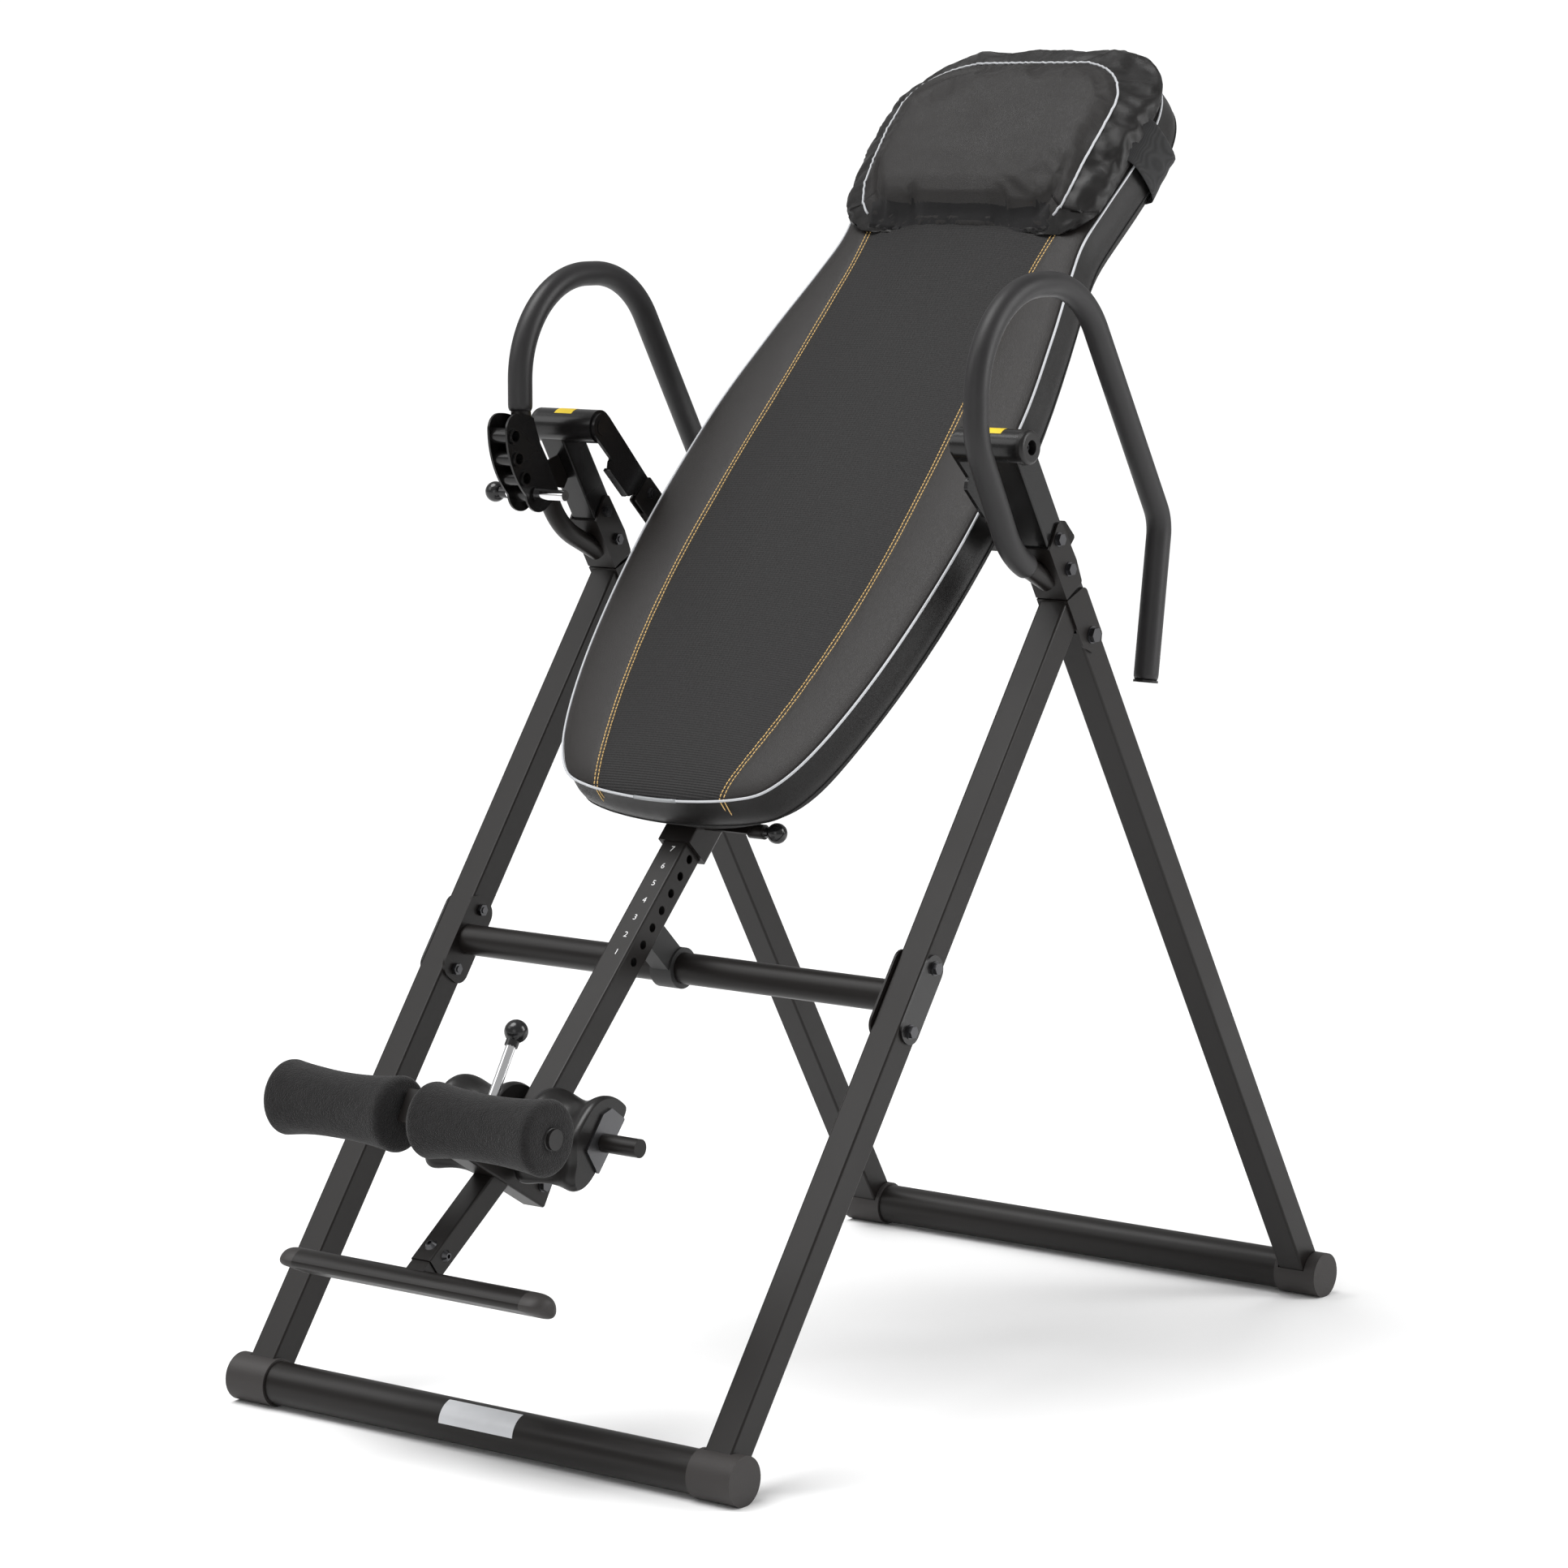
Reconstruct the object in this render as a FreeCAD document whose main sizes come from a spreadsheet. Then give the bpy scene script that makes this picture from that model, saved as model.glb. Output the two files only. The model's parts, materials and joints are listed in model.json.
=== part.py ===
import FreeCAD, Part
import math
import os

# Inversion table: a folding steel stand, a tilting bed on two pivots, and an ankle holder on a
# telescoping leg.  Millimetres.  X is the width, the foot end points to -Y and Z is up.  Left (-X) and
# right (+X) are as seen by someone who stands at the foot end and looks at the bed.
# The origin is on the floor, midway between the side frames and straight below the pivot axis.

V = FreeCAD.Vector
X_AXIS = V(1, 0, 0)
doc = FreeCAD.newDocument("inversion_table")

# ---------------------------------------------------------------- driving dimensions (mm, degrees)
DIMENSIONS = {
    # floor stand
    "pivot_height": 1144, "front_bar_y": -554, "rear_bar_y": 678, "bar_height": 28.6,
    "bar_half_length": 383, "bar_diameter": 52, "bar_wall": 2, "foot_cap_diameter": 58,
    "foot_cap_length": 61, "foot_cap_end": 5,
    "leg_centre_x": 347, "leg_side": 38, "leg_wall": 1.8,
    "crossbar_height": 518, "crossbar_diameter": 38, "plate_thickness": 3,
    "bracket_thickness": 3, "bracket_gap": 0.3,
    # pivot
    "housing_diameter": 42, "housing_bore": 30, "housing_inner_x": 277, "housing_outer_x": 368,
    "shaft_diameter": 16, "running_fit": 0.05, "bush_length": 14, "arm_thickness": 5,
    # bed, measured along the bed from the pivot and behind the pivot
    "bed_angle": 43.85, "bed_foot": -467, "bed_head": 752,
    "pad_face_depth": 121, "pad_crown": 11, "pad_back_depth": 170, "board_thickness": 12,
    "tube_depth": 204.5, "spine_side": 42, "spine_bore": 36.6, "spine_foot": -480, "spine_head": 430,
    # telescoping leg
    "height_tube_side": 36, "height_tube_wall": 2, "height_tube_head": -60, "hole_diameter": 11,
    "hole_pitch": 25.4, "hole_count": 16,
    # ankle holder, measured along its slide and above its axis
    "ankle_angle": 59, "ankle_box_width": 34, "ankle_box_height": 46, "ankle_box_wall": 2.5,
    "ankle_box_length": 172, "ankle_bar_width": 28.6, "ankle_bar_height": 40.6,
    "roller_diameter": 88, "roller_waist": 76, "roller_length": 182, "axle_diameter": 18,
    "heel_rod_diameter": 22, "lower_tube_side": 30, "footrest_width": 45, "footrest_thickness": 26,
    "footrest_half_length": 171,
    # handles
    "handle_diameter": 25, "handle_wall": 1.8, "grip_diameter": 31,
    # fasteners
    "bolt_diameter": 8, "bolt_clearance": 0.4, "hinge_bolt_diameter": 10, "hinge_fit": 0.09, "pin_diameter": 13.6, "pin_fit": 0.1,
}

sheet = doc.addObject("Spreadsheet::Sheet", "dims")
for row, (alias, value) in enumerate(DIMENSIONS.items(), start=1):
    sheet.set("A%d" % row, alias)
    sheet.set("B%d" % row, str(value))
    sheet.setAlias("B%d" % row, alias)
doc.recompute()


def dim(alias):
    """A driving dimension as the sheet holds it."""
    return float(getattr(sheet, alias))


# ---------------------------------------------------------------- places worked out from the sheet
class Line:
    """A direction in the YZ plane with its own frame: local Z along it, local X across the table."""

    def __init__(self, y, z, angle):
        self.y = y
        self.z = z
        self.angle = angle
        self.along = V(0, -math.sin(math.radians(angle)), math.cos(math.radians(angle)))
        self.across = V(0, math.cos(math.radians(angle)), math.sin(math.radians(angle)))

    def point(self, along, across=0.0, x=0.0):
        return V(x, self.y, self.z) + self.along * along + self.across * across

    def placement(self, x=0.0, along=0.0, across=0.0):
        return FreeCAD.Placement(self.point(along, across, x), FreeCAD.Rotation(X_AXIS, self.angle))


def angle_from(y0, z0, y1, z1):
    return math.degrees(math.atan2(-(y1 - y0), z1 - z0))


pivot_z = dim("pivot_height")
bar_z = dim("bar_height")
rear_y = dim("rear_bar_y")
front_y = dim("front_bar_y")
APEX = (113.8, 956.8)
rear_line = Line(rear_y, bar_z, angle_from(rear_y, bar_z, 0.0, pivot_z))
front_line = Line(front_y, bar_z, angle_from(front_y, bar_z, APEX[0], APEX[1]))
bed_line = Line(0.0, pivot_z, -dim("bed_angle"))
ankle_line = Line(-573.0, 365.0, dim("ankle_angle"))
lower_line = Line(-532.5, 319.5, 126.2)
REAR_LENGTH = math.hypot(rear_y, pivot_z - bar_z)
HINGE_ALONG = 1034.6
UPRIGHT_FOOT = 1062.0
BRACKET_TOP = 1100.0
HANDLE_BRACKET = (1102.0, 1188.0)
UPRIGHT_BOLTS = (1131.0, 1174.0)
leg_x = dim("leg_centre_x")
leg_half = dim("leg_side") / 2

TUBE_CORNER = 3.0

subparts = []


def finish(label, obj, placement=None):
    """Name a finished sub-part and put it in its place."""
    obj.Label = label
    if placement is not None:
        moved(obj, placement)
    subparts.append(obj)
    return obj


def bind(obj, expressions):
    for prop, expression in expressions.items():
        obj.setExpression(prop, str(expression))
    return obj


def temp(kind, name):
    return doc.addObject("Part::" + kind, name)


def block(name, width, depth, height, base="0", across="0"):
    """A block centred on local X and Y whose foot is at base."""
    return bind(temp("Box", name), {
        "Length": width, "Width": depth, "Height": height,
        "Placement.Base.x": "-(%s) / 2" % width,
        "Placement.Base.y": "%s - (%s) / 2" % (across, depth),
        "Placement.Base.z": base})


def rod_x(name, diameter, x_low, x_high, y=0.0, z=0.0):
    """A round bar along X."""
    rod = bind(temp("Cylinder", name), {"Radius": "(%s) / 2" % diameter})
    rod.Height = x_high - x_low
    rod.Placement = FreeCAD.Placement(V(x_low, y, z), FreeCAD.Rotation(V(0, 1, 0), 90))
    return rod


def rod_z(name, diameter, z_low, z_high, x=0.0, y=0.0):
    """A round bar along local Z."""
    rod = bind(temp("Cylinder", name), {"Radius": "(%s) / 2" % diameter})
    rod.Height = z_high - z_low
    rod.Placement = FreeCAD.Placement(V(x, y, z_low), FreeCAD.Rotation())
    return rod


def ball(name, diameter, x, y, z):
    sphere = temp("Sphere", name)
    sphere.Radius = diameter / 2.0
    sphere.Placement = FreeCAD.Placement(V(x, y, z), FreeCAD.Rotation(V(0, 1, 0), 90))
    return sphere


def moved(obj, placement):
    """Carry a solid from where it stands through a placement and give it back."""
    obj.recompute()
    for path, _ in list(obj.ExpressionEngine):
        if "Placement" in path:
            obj.setExpression(path, None)
    obj.Placement = placement.multiply(obj.Placement)
    return obj


def cut(name, base, *tools):
    result = temp("Cut", name)
    result.Base = base
    if len(tools) == 1:
        result.Tool = tools[0]
    else:
        result.Tool = group(name + "_tools", *tools)
    return result


def fuse(name, *shapes):
    result = temp("MultiFuse", name)
    result.Shapes = list(shapes)
    result.Refine = True
    return result


def group(name, *members):
    result = temp("Compound", name)
    result.Links = list(members)
    return result


def soft_corners(box, radius):
    """A block with its four upright edges rounded, as drawn tube has them."""
    doc.recompute()
    rounding = temp("Fillet", box.Name + "_round")
    rounding.Base = box
    upright_edges = [i + 1 for i, e in enumerate(box.Shape.Edges) if abs(e.tangentAt(e.FirstParameter).z) > 0.99]
    rounding.Edges = [(i, radius, radius) for i in upright_edges]
    return rounding


def square_tube(name, side, wall, length, base="0"):
    outer = soft_corners(block(name + "_outer", side, side, length, base), TUBE_CORNER)
    bore_side = "%s - 2 * %s" % (side, wall)
    inner = block(name + "_bore", bore_side, bore_side, "%s + 2" % length, "%s - 1" % base)
    return cut(name, outer, inner)


def sketch_edges(body, name, edges, role="XY_Plane"):
    """A sketch on one of the body's own origin planes."""
    sketch = body.newObject("Sketcher::SketchObject", name)
    plane = next(f for f in body.Origin.OriginFeatures if f.Role == role)
    sketch.AttachmentSupport = [(plane, "")]
    sketch.MapMode = "FlatFace"
    sketch.addGeometry(edges, False)
    return sketch


def padded_plate(name, edges, thickness):
    """A body padded from an outline on its XY plane; thickness is a sheet expression."""
    body = doc.addObject("PartDesign::Body", name)
    sketch = sketch_edges(body, name + "_outline", edges)
    pad = body.newObject("PartDesign::Pad", name + "_pad")
    pad.Profile = sketch
    pad.setExpression("Length", str(thickness))
    sketch.Visibility = False
    return body


def revolved(name, edges):
    """A body turned about its own X axis from an outline on its XY plane."""
    body = doc.addObject("PartDesign::Body", name)
    sketch = sketch_edges(body, name + "_outline", edges)
    turn = body.newObject("PartDesign::Revolution", name + "_turn")
    turn.Profile = sketch
    turn.ReferenceAxis = (sketch, ["H_Axis"])
    turn.Angle = 360
    return body


def rounded(points, radii):
    """A closed outline whose corners are rounded, each with its own radius."""
    edges = []
    count = len(points)
    corners = [V(x, y, 0) for x, y in points]
    ends = []
    for i in range(count):
        before = (corners[i - 1] - corners[i]).normalize()
        after = (corners[(i + 1) % count] - corners[i]).normalize()
        if radii[i] == 0:
            ends.append((corners[i], corners[i], None))
            continue
        half = before.getAngle(after) / 2
        reach = radii[i] / math.tan(half)
        centre_dir = (before + after).normalize()
        middle = corners[i] + centre_dir * (radii[i] / math.sin(half) - radii[i])
        ends.append((corners[i] + before * reach, corners[i] + after * reach, middle))
    for i in range(count):
        start, end, middle = ends[i]
        if middle is not None:
            edges.append(Part.Arc(start, middle, end))
        follow = ends[(i + 1) % count][0]
        if (follow - end).Length > 1e-6:
            edges.append(Part.LineSegment(end, follow))
    return edges


def hole(x, y, diameter):
    return Part.Circle(V(x, y, 0), V(0, 0, 1), diameter / 2)


def bent_path(points, radii):
    """A wire of straight runs joined by tangent arcs through 3-D points."""
    edges = []
    start = points[0]
    for i in range(1, len(points) - 1):
        before = (points[i - 1] - points[i]).normalize()
        after = (points[i + 1] - points[i]).normalize()
        half = before.getAngle(after) / 2
        reach = radii[i - 1] / math.tan(half)
        middle = points[i] + (before + after).normalize() * (radii[i - 1] / math.sin(half) - radii[i - 1])
        first = points[i] + before * reach
        last = points[i] + after * reach
        edges.append(Part.LineSegment(start, first).toShape())
        edges.append(Part.Arc(first, middle, last).toShape())
        start = last
    edges.append(Part.LineSegment(start, points[-1]).toShape())
    return Part.Wire(edges)


def swept(wire, diameter):
    """A round bar along a wire."""
    start = wire.Edges[0].valueAt(wire.Edges[0].FirstParameter)
    heading = wire.Edges[0].tangentAt(wire.Edges[0].FirstParameter)
    profile = Part.Wire(Part.makeCircle(diameter / 2, start, heading))
    return wire.makePipeShell([profile], True, True)


def feature(name, shape):
    obj = doc.addObject("Part::Feature", name)
    obj.Shape = shape
    return obj


def side_plate(name, edges, thickness, x_low):
    """A flat plate in a YZ plane: outline (across, along), from x_low towards +X."""
    body = padded_plate(name, edges, thickness)
    # outline X -> local Y, outline Y -> local Z, pad -> local X
    turn = FreeCAD.Rotation(V(0, 1, 0), V(0, 0, 1), V(1, 0, 0), "XYZ")
    body.Placement = FreeCAD.Placement(V(x_low, 0, 0), turn)
    return body


def hex_bolt(name, diameter, x_head, x_end, y, z, washer=True, nut=True):
    """A hexagon bolt along X; its head stands outside x_head, its nut outside x_end."""
    way = 1.0 if x_end > x_head else -1.0
    head_height = diameter * 0.62
    across_corners = diameter * 1.9
    axis = V(way, 0, 0)
    shank = Part.makeCylinder(diameter / 2, abs(x_end - x_head), V(x_head, y, z), axis)
    parts = [shank, hexagon(across_corners, head_height, V(x_head - way * (head_height + 1.2), y, z), axis)]
    if washer:
        parts.append(Part.makeCylinder(diameter * 1.05, 1.2, V(x_head - way * 1.2, y, z), axis))
    if nut:
        parts.append(hexagon(across_corners, head_height, V(x_end, y, z), axis))
        parts.append(Part.makeCylinder(diameter / 2, head_height + 1.5, V(x_end, y, z), axis))
    solid = parts[0].multiFuse(parts[1:]).removeSplitter()
    return feature(name, solid)


def hexagon(across_corners, height, base, axis):
    rotation = FreeCAD.Rotation(V(0, 0, 1), axis)
    points = []
    for k in range(7):
        turn = math.radians(60 * k)
        points.append(V(across_corners / 2 * math.cos(turn), across_corners / 2 * math.sin(turn), 0))
    prism = Part.Face(Part.makePolygon(points)).extrude(V(0, 0, height))
    prism.Placement = FreeCAD.Placement(base, rotation)
    return prism


def button_screw(name, diameter, base, axis, length):
    """A button-head screw: dome outside base, hexagon socket in it, shank of length along axis."""
    head_radius = diameter * 0.92
    head_height = diameter * 0.55
    outward = axis * -1
    head = Part.makeCone(head_radius, head_radius * 0.55, head_height, base, outward)
    shank = Part.makeCylinder(diameter / 2, length, base, axis)
    socket = hexagon(diameter * 0.68, head_height * 0.7, base + outward * head_height * 0.35, outward)
    return feature(name, head.fuse(shank).cut(socket).removeSplitter())


SIDES = (("left", -1), ("right", 1))
CLEAR_BOLT = "dims.bolt_diameter + 2 * dims.bolt_clearance"
plate = dim("plate_thickness")


def span(sign, near, far):
    """The X range of a piece between two distances from the middle, on one side."""
    return (near, far) if sign > 0 else (-far, -near)


# ---------------------------------------------------------------- floor tubes, caps and legs
def floor_tube(label, y):
    reach = dim("bar_half_length") - dim("foot_cap_end")
    outer = rod_x(label + "_outer", "dims.bar_diameter", -reach, reach)
    bore = rod_x(label + "_bore", "dims.bar_diameter - 2 * dims.bar_wall", -reach - 1, reach + 1)
    return finish(label, cut(label + "_tube", outer, bore), FreeCAD.Placement(V(0, y, bar_z), FreeCAD.Rotation()))


def foot_cap(name, sign, line):
    """A rubber cap on one end of a floor tube: cut out for the leg, with a narrow flat to stand on."""
    far = dim("bar_half_length")
    low, high = span(sign, far - dim("foot_cap_length"), far)
    bore = span(sign, far - dim("foot_cap_length") - 1, far - dim("foot_cap_end"))
    body = rod_x(name + "_body", "dims.foot_cap_diameter", low, high, line.y, bar_z)
    hollow = rod_x(name + "_hollow", "dims.bar_diameter", bore[0], bore[1], line.y, bar_z)
    leg_slot = block(name + "_slot", "dims.leg_side + 1", "dims.leg_side + 1", "90")
    moved(leg_slot, line.placement(sign * leg_x))
    below = block(name + "_floor", "900", "80", "40", "-40")
    moved(below, FreeCAD.Placement(V(0, line.y, 0), FreeCAD.Rotation()))
    return cut(name, body, hollow, leg_slot, below)


def caps(label, line):
    finish(label, group(label + "_pair", *[foot_cap(label + "_" + side, sign, line) for side, sign in SIDES]))


def leg_tube(name, line, length):
    """A square leg standing on its floor tube."""
    tube = square_tube(name + "_square", "dims.leg_side", "dims.leg_wall", str(length))
    seat = rod_x(name + "_seat", "dims.bar_diameter", -60, 60)
    return cut(name + "_fitted", tube, seat)


def bracket_sides(name, outline, radii):
    """Two plates that hold a tube between them, in the frame of the rear line."""
    inside = leg_half + dim("bracket_gap")
    pair = []
    for tag, low in (("a", -inside - plate), ("b", inside)):
        pair.append(side_plate(name + "_cheek_" + tag, rounded(outline, radii), "dims.bracket_thickness", low))
    return pair


WEB_BACK = -(leg_half + dim("bracket_gap"))
WEB_FRONT = WEB_BACK - dim("bracket_thickness")
CROSSBAR_ALONG = (dim("crossbar_height") - bar_z) / math.cos(math.radians(front_line.angle))
PLATE_BOLT_STEP = 41.5


def in_front_leg_frame(obj):
    """Turn a helper given in the rear line's frame into the front line's frame."""
    return moved(obj, front_line.placement().inverse().multiply(rear_line.placement()))


def front_leg(side, sign):
    name = "front_leg_" + side
    tube = leg_tube(name, front_line, 1180)
    behind = block(name + "_behind", "80", "160", "400", "950", "%s + 80" % WEB_FRONT)
    in_front_leg_frame(behind)
    cheeks = bracket_sides(
        name,
        [(WEB_FRONT, 1032), (-9, 1013), (10, 1013), (19, 1024), (19, BRACKET_TOP - 6), (WEB_FRONT, BRACKET_TOP)],
        [6, 7, 7, 5, 9, 0])
    web = block(name + "_web", "dims.leg_side + 2 * (dims.bracket_gap + dims.bracket_thickness)",
                "dims.bracket_thickness", str(BRACKET_TOP - 1057), "1057", str((WEB_FRONT + WEB_BACK) / 2))
    for piece in cheeks + [web]:
        in_front_leg_frame(piece)
    steel = fuse(name + "_steel", cut(name + "_trim", tube, behind), web, *cheeks)
    hinge_hole = rod_x(name + "_hinge_hole", "dims.hinge_bolt_diameter + 0.1", -30, 30, 0, HINGE_ALONG)
    in_front_leg_frame(hinge_hole)
    bolt_holes = [rod_x(name + "_bolt_hole", CLEAR_BOLT, -30, 30, 0, CROSSBAR_ALONG + step)
                  for step in (-PLATE_BOLT_STEP, PLATE_BOLT_STEP)]
    finish(name, cut(name + "_cut", steel, hinge_hole, *bolt_holes), front_line.placement(sign * leg_x))


def rear_leg(side, sign):
    name = "rear_leg_" + side
    tube = leg_tube(name, rear_line, HINGE_ALONG + 15)
    hinge_hole = rod_x(name + "_hinge_hole", "dims.hinge_bolt_diameter + 2 * dims.hinge_fit", -30, 30,
                       0, HINGE_ALONG)
    finish(name, cut(name + "_cut", tube, hinge_hole), rear_line.placement(sign * leg_x))


def upright(side, sign):
    """The post that carries a pivot: a square tube welded under a round housing."""
    name = "upright_" + side
    post = square_tube(name + "_post", "dims.leg_side", "dims.leg_wall", str(REAR_LENGTH - UPRIGHT_FOOT),
                       str(UPRIGHT_FOOT))
    low, high = span(sign, dim("housing_inner_x") - leg_x, dim("housing_outer_x") - leg_x)
    room = rod_x(name + "_room", "dims.housing_diameter", -60, 60, 0, REAR_LENGTH)
    housing = rod_x(name + "_housing", "dims.housing_diameter", low, high, 0, REAR_LENGTH)
    bore = rod_x(name + "_bore", "dims.housing_bore", low - 1, high + 1, 0, REAR_LENGTH)
    holes = [rod_x(name + "_hole", CLEAR_BOLT, -30, 30, 0, along) for along in UPRIGHT_BOLTS]
    steel = fuse(name + "_steel", cut(name + "_cope", post, room), housing)
    finish(name, cut(name + "_cut", steel, bore, *holes), rear_line.placement(sign * leg_x))


floor_tube("front_floor_tube", front_y)
floor_tube("rear_floor_tube", rear_y)
caps("front_foot_caps", front_line)
caps("rear_foot_caps", rear_line)
for side, sign in SIDES:
    front_leg(side, sign)
    rear_leg(side, sign)
    upright(side, sign)

# ---------------------------------------------------------------- crossbar between the front legs
inner_face = leg_x - leg_half
outer_face = leg_x + leg_half


def oblong(half_width, half_length, corner):
    return rounded([(-half_width, -half_length), (half_width, -half_length), (half_width, half_length),
                    (-half_width, half_length)], [corner] * 4)


def oblong_plate(name, half_width, x_low):
    holes = [hole(0, step, dim("bolt_diameter") + 2 * dim("bolt_clearance"))
             for step in (-PLATE_BOLT_STEP, PLATE_BOLT_STEP)]
    return side_plate(name, oblong(half_width, 56, 17) + holes, "dims.plate_thickness", x_low)


bar = rod_x("crossbar_round", "dims.crossbar_diameter", -inner_face + plate, inner_face - plate)
bar_bore = rod_x("crossbar_bore", "dims.crossbar_diameter - 3.6", -inner_face + plate + 2, inner_face - plate - 2)
crossbar = fuse("crossbar_weldment", cut("crossbar_tube", bar, bar_bore),
                oblong_plate("crossbar_plate_left", 24, -inner_face),
                oblong_plate("crossbar_plate_right", 24, inner_face - plate))
finish("crossbar", crossbar, front_line.placement(0, CROSSBAR_ALONG))
finish("crossbar_outer_plates", group("outer_plate_pair", oblong_plate("outer_plate_left", 18, -outer_face - plate),
                                      oblong_plate("outer_plate_right", 18, outer_face)),
       front_line.placement(0, CROSSBAR_ALONG))
bolts = []
for side, sign in SIDES:
    for step in (-PLATE_BOLT_STEP, PLATE_BOLT_STEP):
        bolts.append(hex_bolt("crossbar_bolt", dim("bolt_diameter"), sign * (outer_face + plate),
                              sign * (inner_face - plate), 0, step))
finish("crossbar_bolts", group("crossbar_bolt_set", *bolts), front_line.placement(0, CROSSBAR_ALONG))

bar_centre = front_line.point(CROSSBAR_ALONG)
bed_u = bed_line.along
bed_depth = bed_line.across
offset = bar_centre - V(0, 0, pivot_z)
BAR_ALONG = offset.dot(bed_u)
BAR_DEPTH = offset.dot(bed_depth)
tube_back = dim("tube_depth") + dim("height_tube_side") / 2
bumper_ring = rod_x("bumper_ring", "dims.crossbar_diameter + 12", -16, 16, BAR_DEPTH, BAR_ALONG)
bumper_block = block("bumper_block", "26", str(BAR_DEPTH - tube_back - 0.6), "34", str(BAR_ALONG - 17),
                     str((BAR_DEPTH + tube_back + 0.6) / 2))
bumper_bore = rod_x("bumper_bore", "dims.crossbar_diameter", -20, 20, BAR_DEPTH, BAR_ALONG)
finish("crossbar_bumper", cut("bumper_cut", fuse("bumper_solid", bumper_ring, bumper_block), bumper_bore),
       bed_line.placement())

# ---------------------------------------------------------------- handles
HANDLE_START = (78, 980.2)
HANDLE_LOW = (3, 1015.4)
HANDLE_LEAN = (-70.5, 1152)
HANDLE_TOP_FRONT = (-70.5, 1331.5)
HANDLE_TOP_BACK = (142, 1331.5)
HANDLE_ELBOW = (320.5, 1037)
HANDLE_END = (292, 843)
HANDLE_RADII = [100, 100, 130, 118, 55]
GRIP_START = {"left": (-70.5, 1180), "right": (36, 999.9)}


def handle_wire(points, radii, x):
    return bent_path([V(x, y, z) for y, z in points], radii)


def handle(side, sign):
    """A bent tube welded to a U bracket that two bolts hold on the upright."""
    name = "handle_" + side
    x = sign * leg_x
    points = [HANDLE_START, HANDLE_LOW, HANDLE_LEAN, HANDLE_TOP_FRONT, HANDLE_TOP_BACK, HANDLE_ELBOW, HANDLE_END]
    wire = handle_wire(points, HANDLE_RADII, x)
    outer = swept(wire, dim("handle_diameter"))
    bore = swept(wire, dim("handle_diameter") - 2 * dim("handle_wall"))
    tube = feature(name + "_tube", outer.cut(bore))
    low, high = HANDLE_BRACKET
    cheeks = bracket_sides(name, [(WEB_FRONT, low), (15, low), (19, low + 30), (16, high), (9, high + 3),
                                  (WEB_FRONT, high - 14)], [0, 3, 12, 4, 4, 0])
    web = block(name + "_web", "dims.leg_side + 2 * (dims.bracket_gap + dims.bracket_thickness)",
                "dims.bracket_thickness", str(high - 14 - low), str(low), str((WEB_FRONT + WEB_BACK) / 2))
    behind = block(name + "_behind", "80", "100", "300", "1040", "%s + 50" % WEB_FRONT)
    for piece in cheeks + [web, behind]:
        moved(piece, rear_line.placement(x))
    steel = fuse(name + "_steel", cut(name + "_trim", tube, behind), web, *cheeks)
    holes = [moved(rod_x(name + "_hole", CLEAR_BOLT, -30, 30, 0, along), rear_line.placement(x))
             for along in UPRIGHT_BOLTS]
    finish(name, cut(name + "_cut", steel, *holes))


def grip(side, sign):
    """A foam sleeve along the handle, a little short of the tube's end."""
    if side == "left":
        points = [GRIP_START[side], HANDLE_TOP_FRONT, HANDLE_TOP_BACK, HANDLE_ELBOW, HANDLE_END]
        radii = HANDLE_RADII[2:]
    else:
        points = [GRIP_START[side], HANDLE_LOW, HANDLE_LEAN, HANDLE_TOP_FRONT, HANDLE_TOP_BACK, HANDLE_ELBOW,
                  HANDLE_END]
        radii = HANDLE_RADII
    wire = handle_wire(points, radii, sign * leg_x)
    foam = swept(wire, dim("grip_diameter")).cut(swept(wire, dim("handle_diameter")))
    finish("handle_grip_" + side, feature("grip_" + side, foam))


def handle_plug(side, sign):
    """A plastic plug in the lower end of a handle."""
    heading = (V(0, *HANDLE_END) - V(0, *HANDLE_ELBOW)).normalize()
    end = V(sign * leg_x, *HANDLE_END)
    disc = Part.makeCylinder(dim("grip_diameter") / 2, 3, end, heading)
    spigot = Part.makeCylinder(dim("handle_diameter") / 2 - dim("handle_wall"), 14, end, heading * -1)
    return feature("handle_plug_" + side, disc.fuse(spigot))


for side, sign in SIDES:
    handle(side, sign)
    grip(side, sign)
finish("handle_plugs", group("handle_plug_pair", *[handle_plug(side, sign) for side, sign in SIDES]))

bolts = []
for side, sign in SIDES:
    shift = rear_line.placement(sign * leg_x)
    reach = leg_half + dim("bracket_gap") + plate
    for along in UPRIGHT_BOLTS:
        bolt = hex_bolt("upright_bolt", dim("bolt_diameter"), sign * reach, -sign * reach, 0, along)
        bolts.append(moved(bolt, shift))
finish("upright_bolts", group("upright_bolt_set", *bolts))
bolts = []
for side, sign in SIDES:
    shift = rear_line.placement(sign * leg_x)
    bolt = hex_bolt("hinge_bolt", dim("hinge_bolt_diameter"), sign * reach, -sign * reach, 0, HINGE_ALONG)
    bolts.append(moved(bolt, shift))
finish("hinge_bolts", group("hinge_bolt_set", *bolts))

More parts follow.
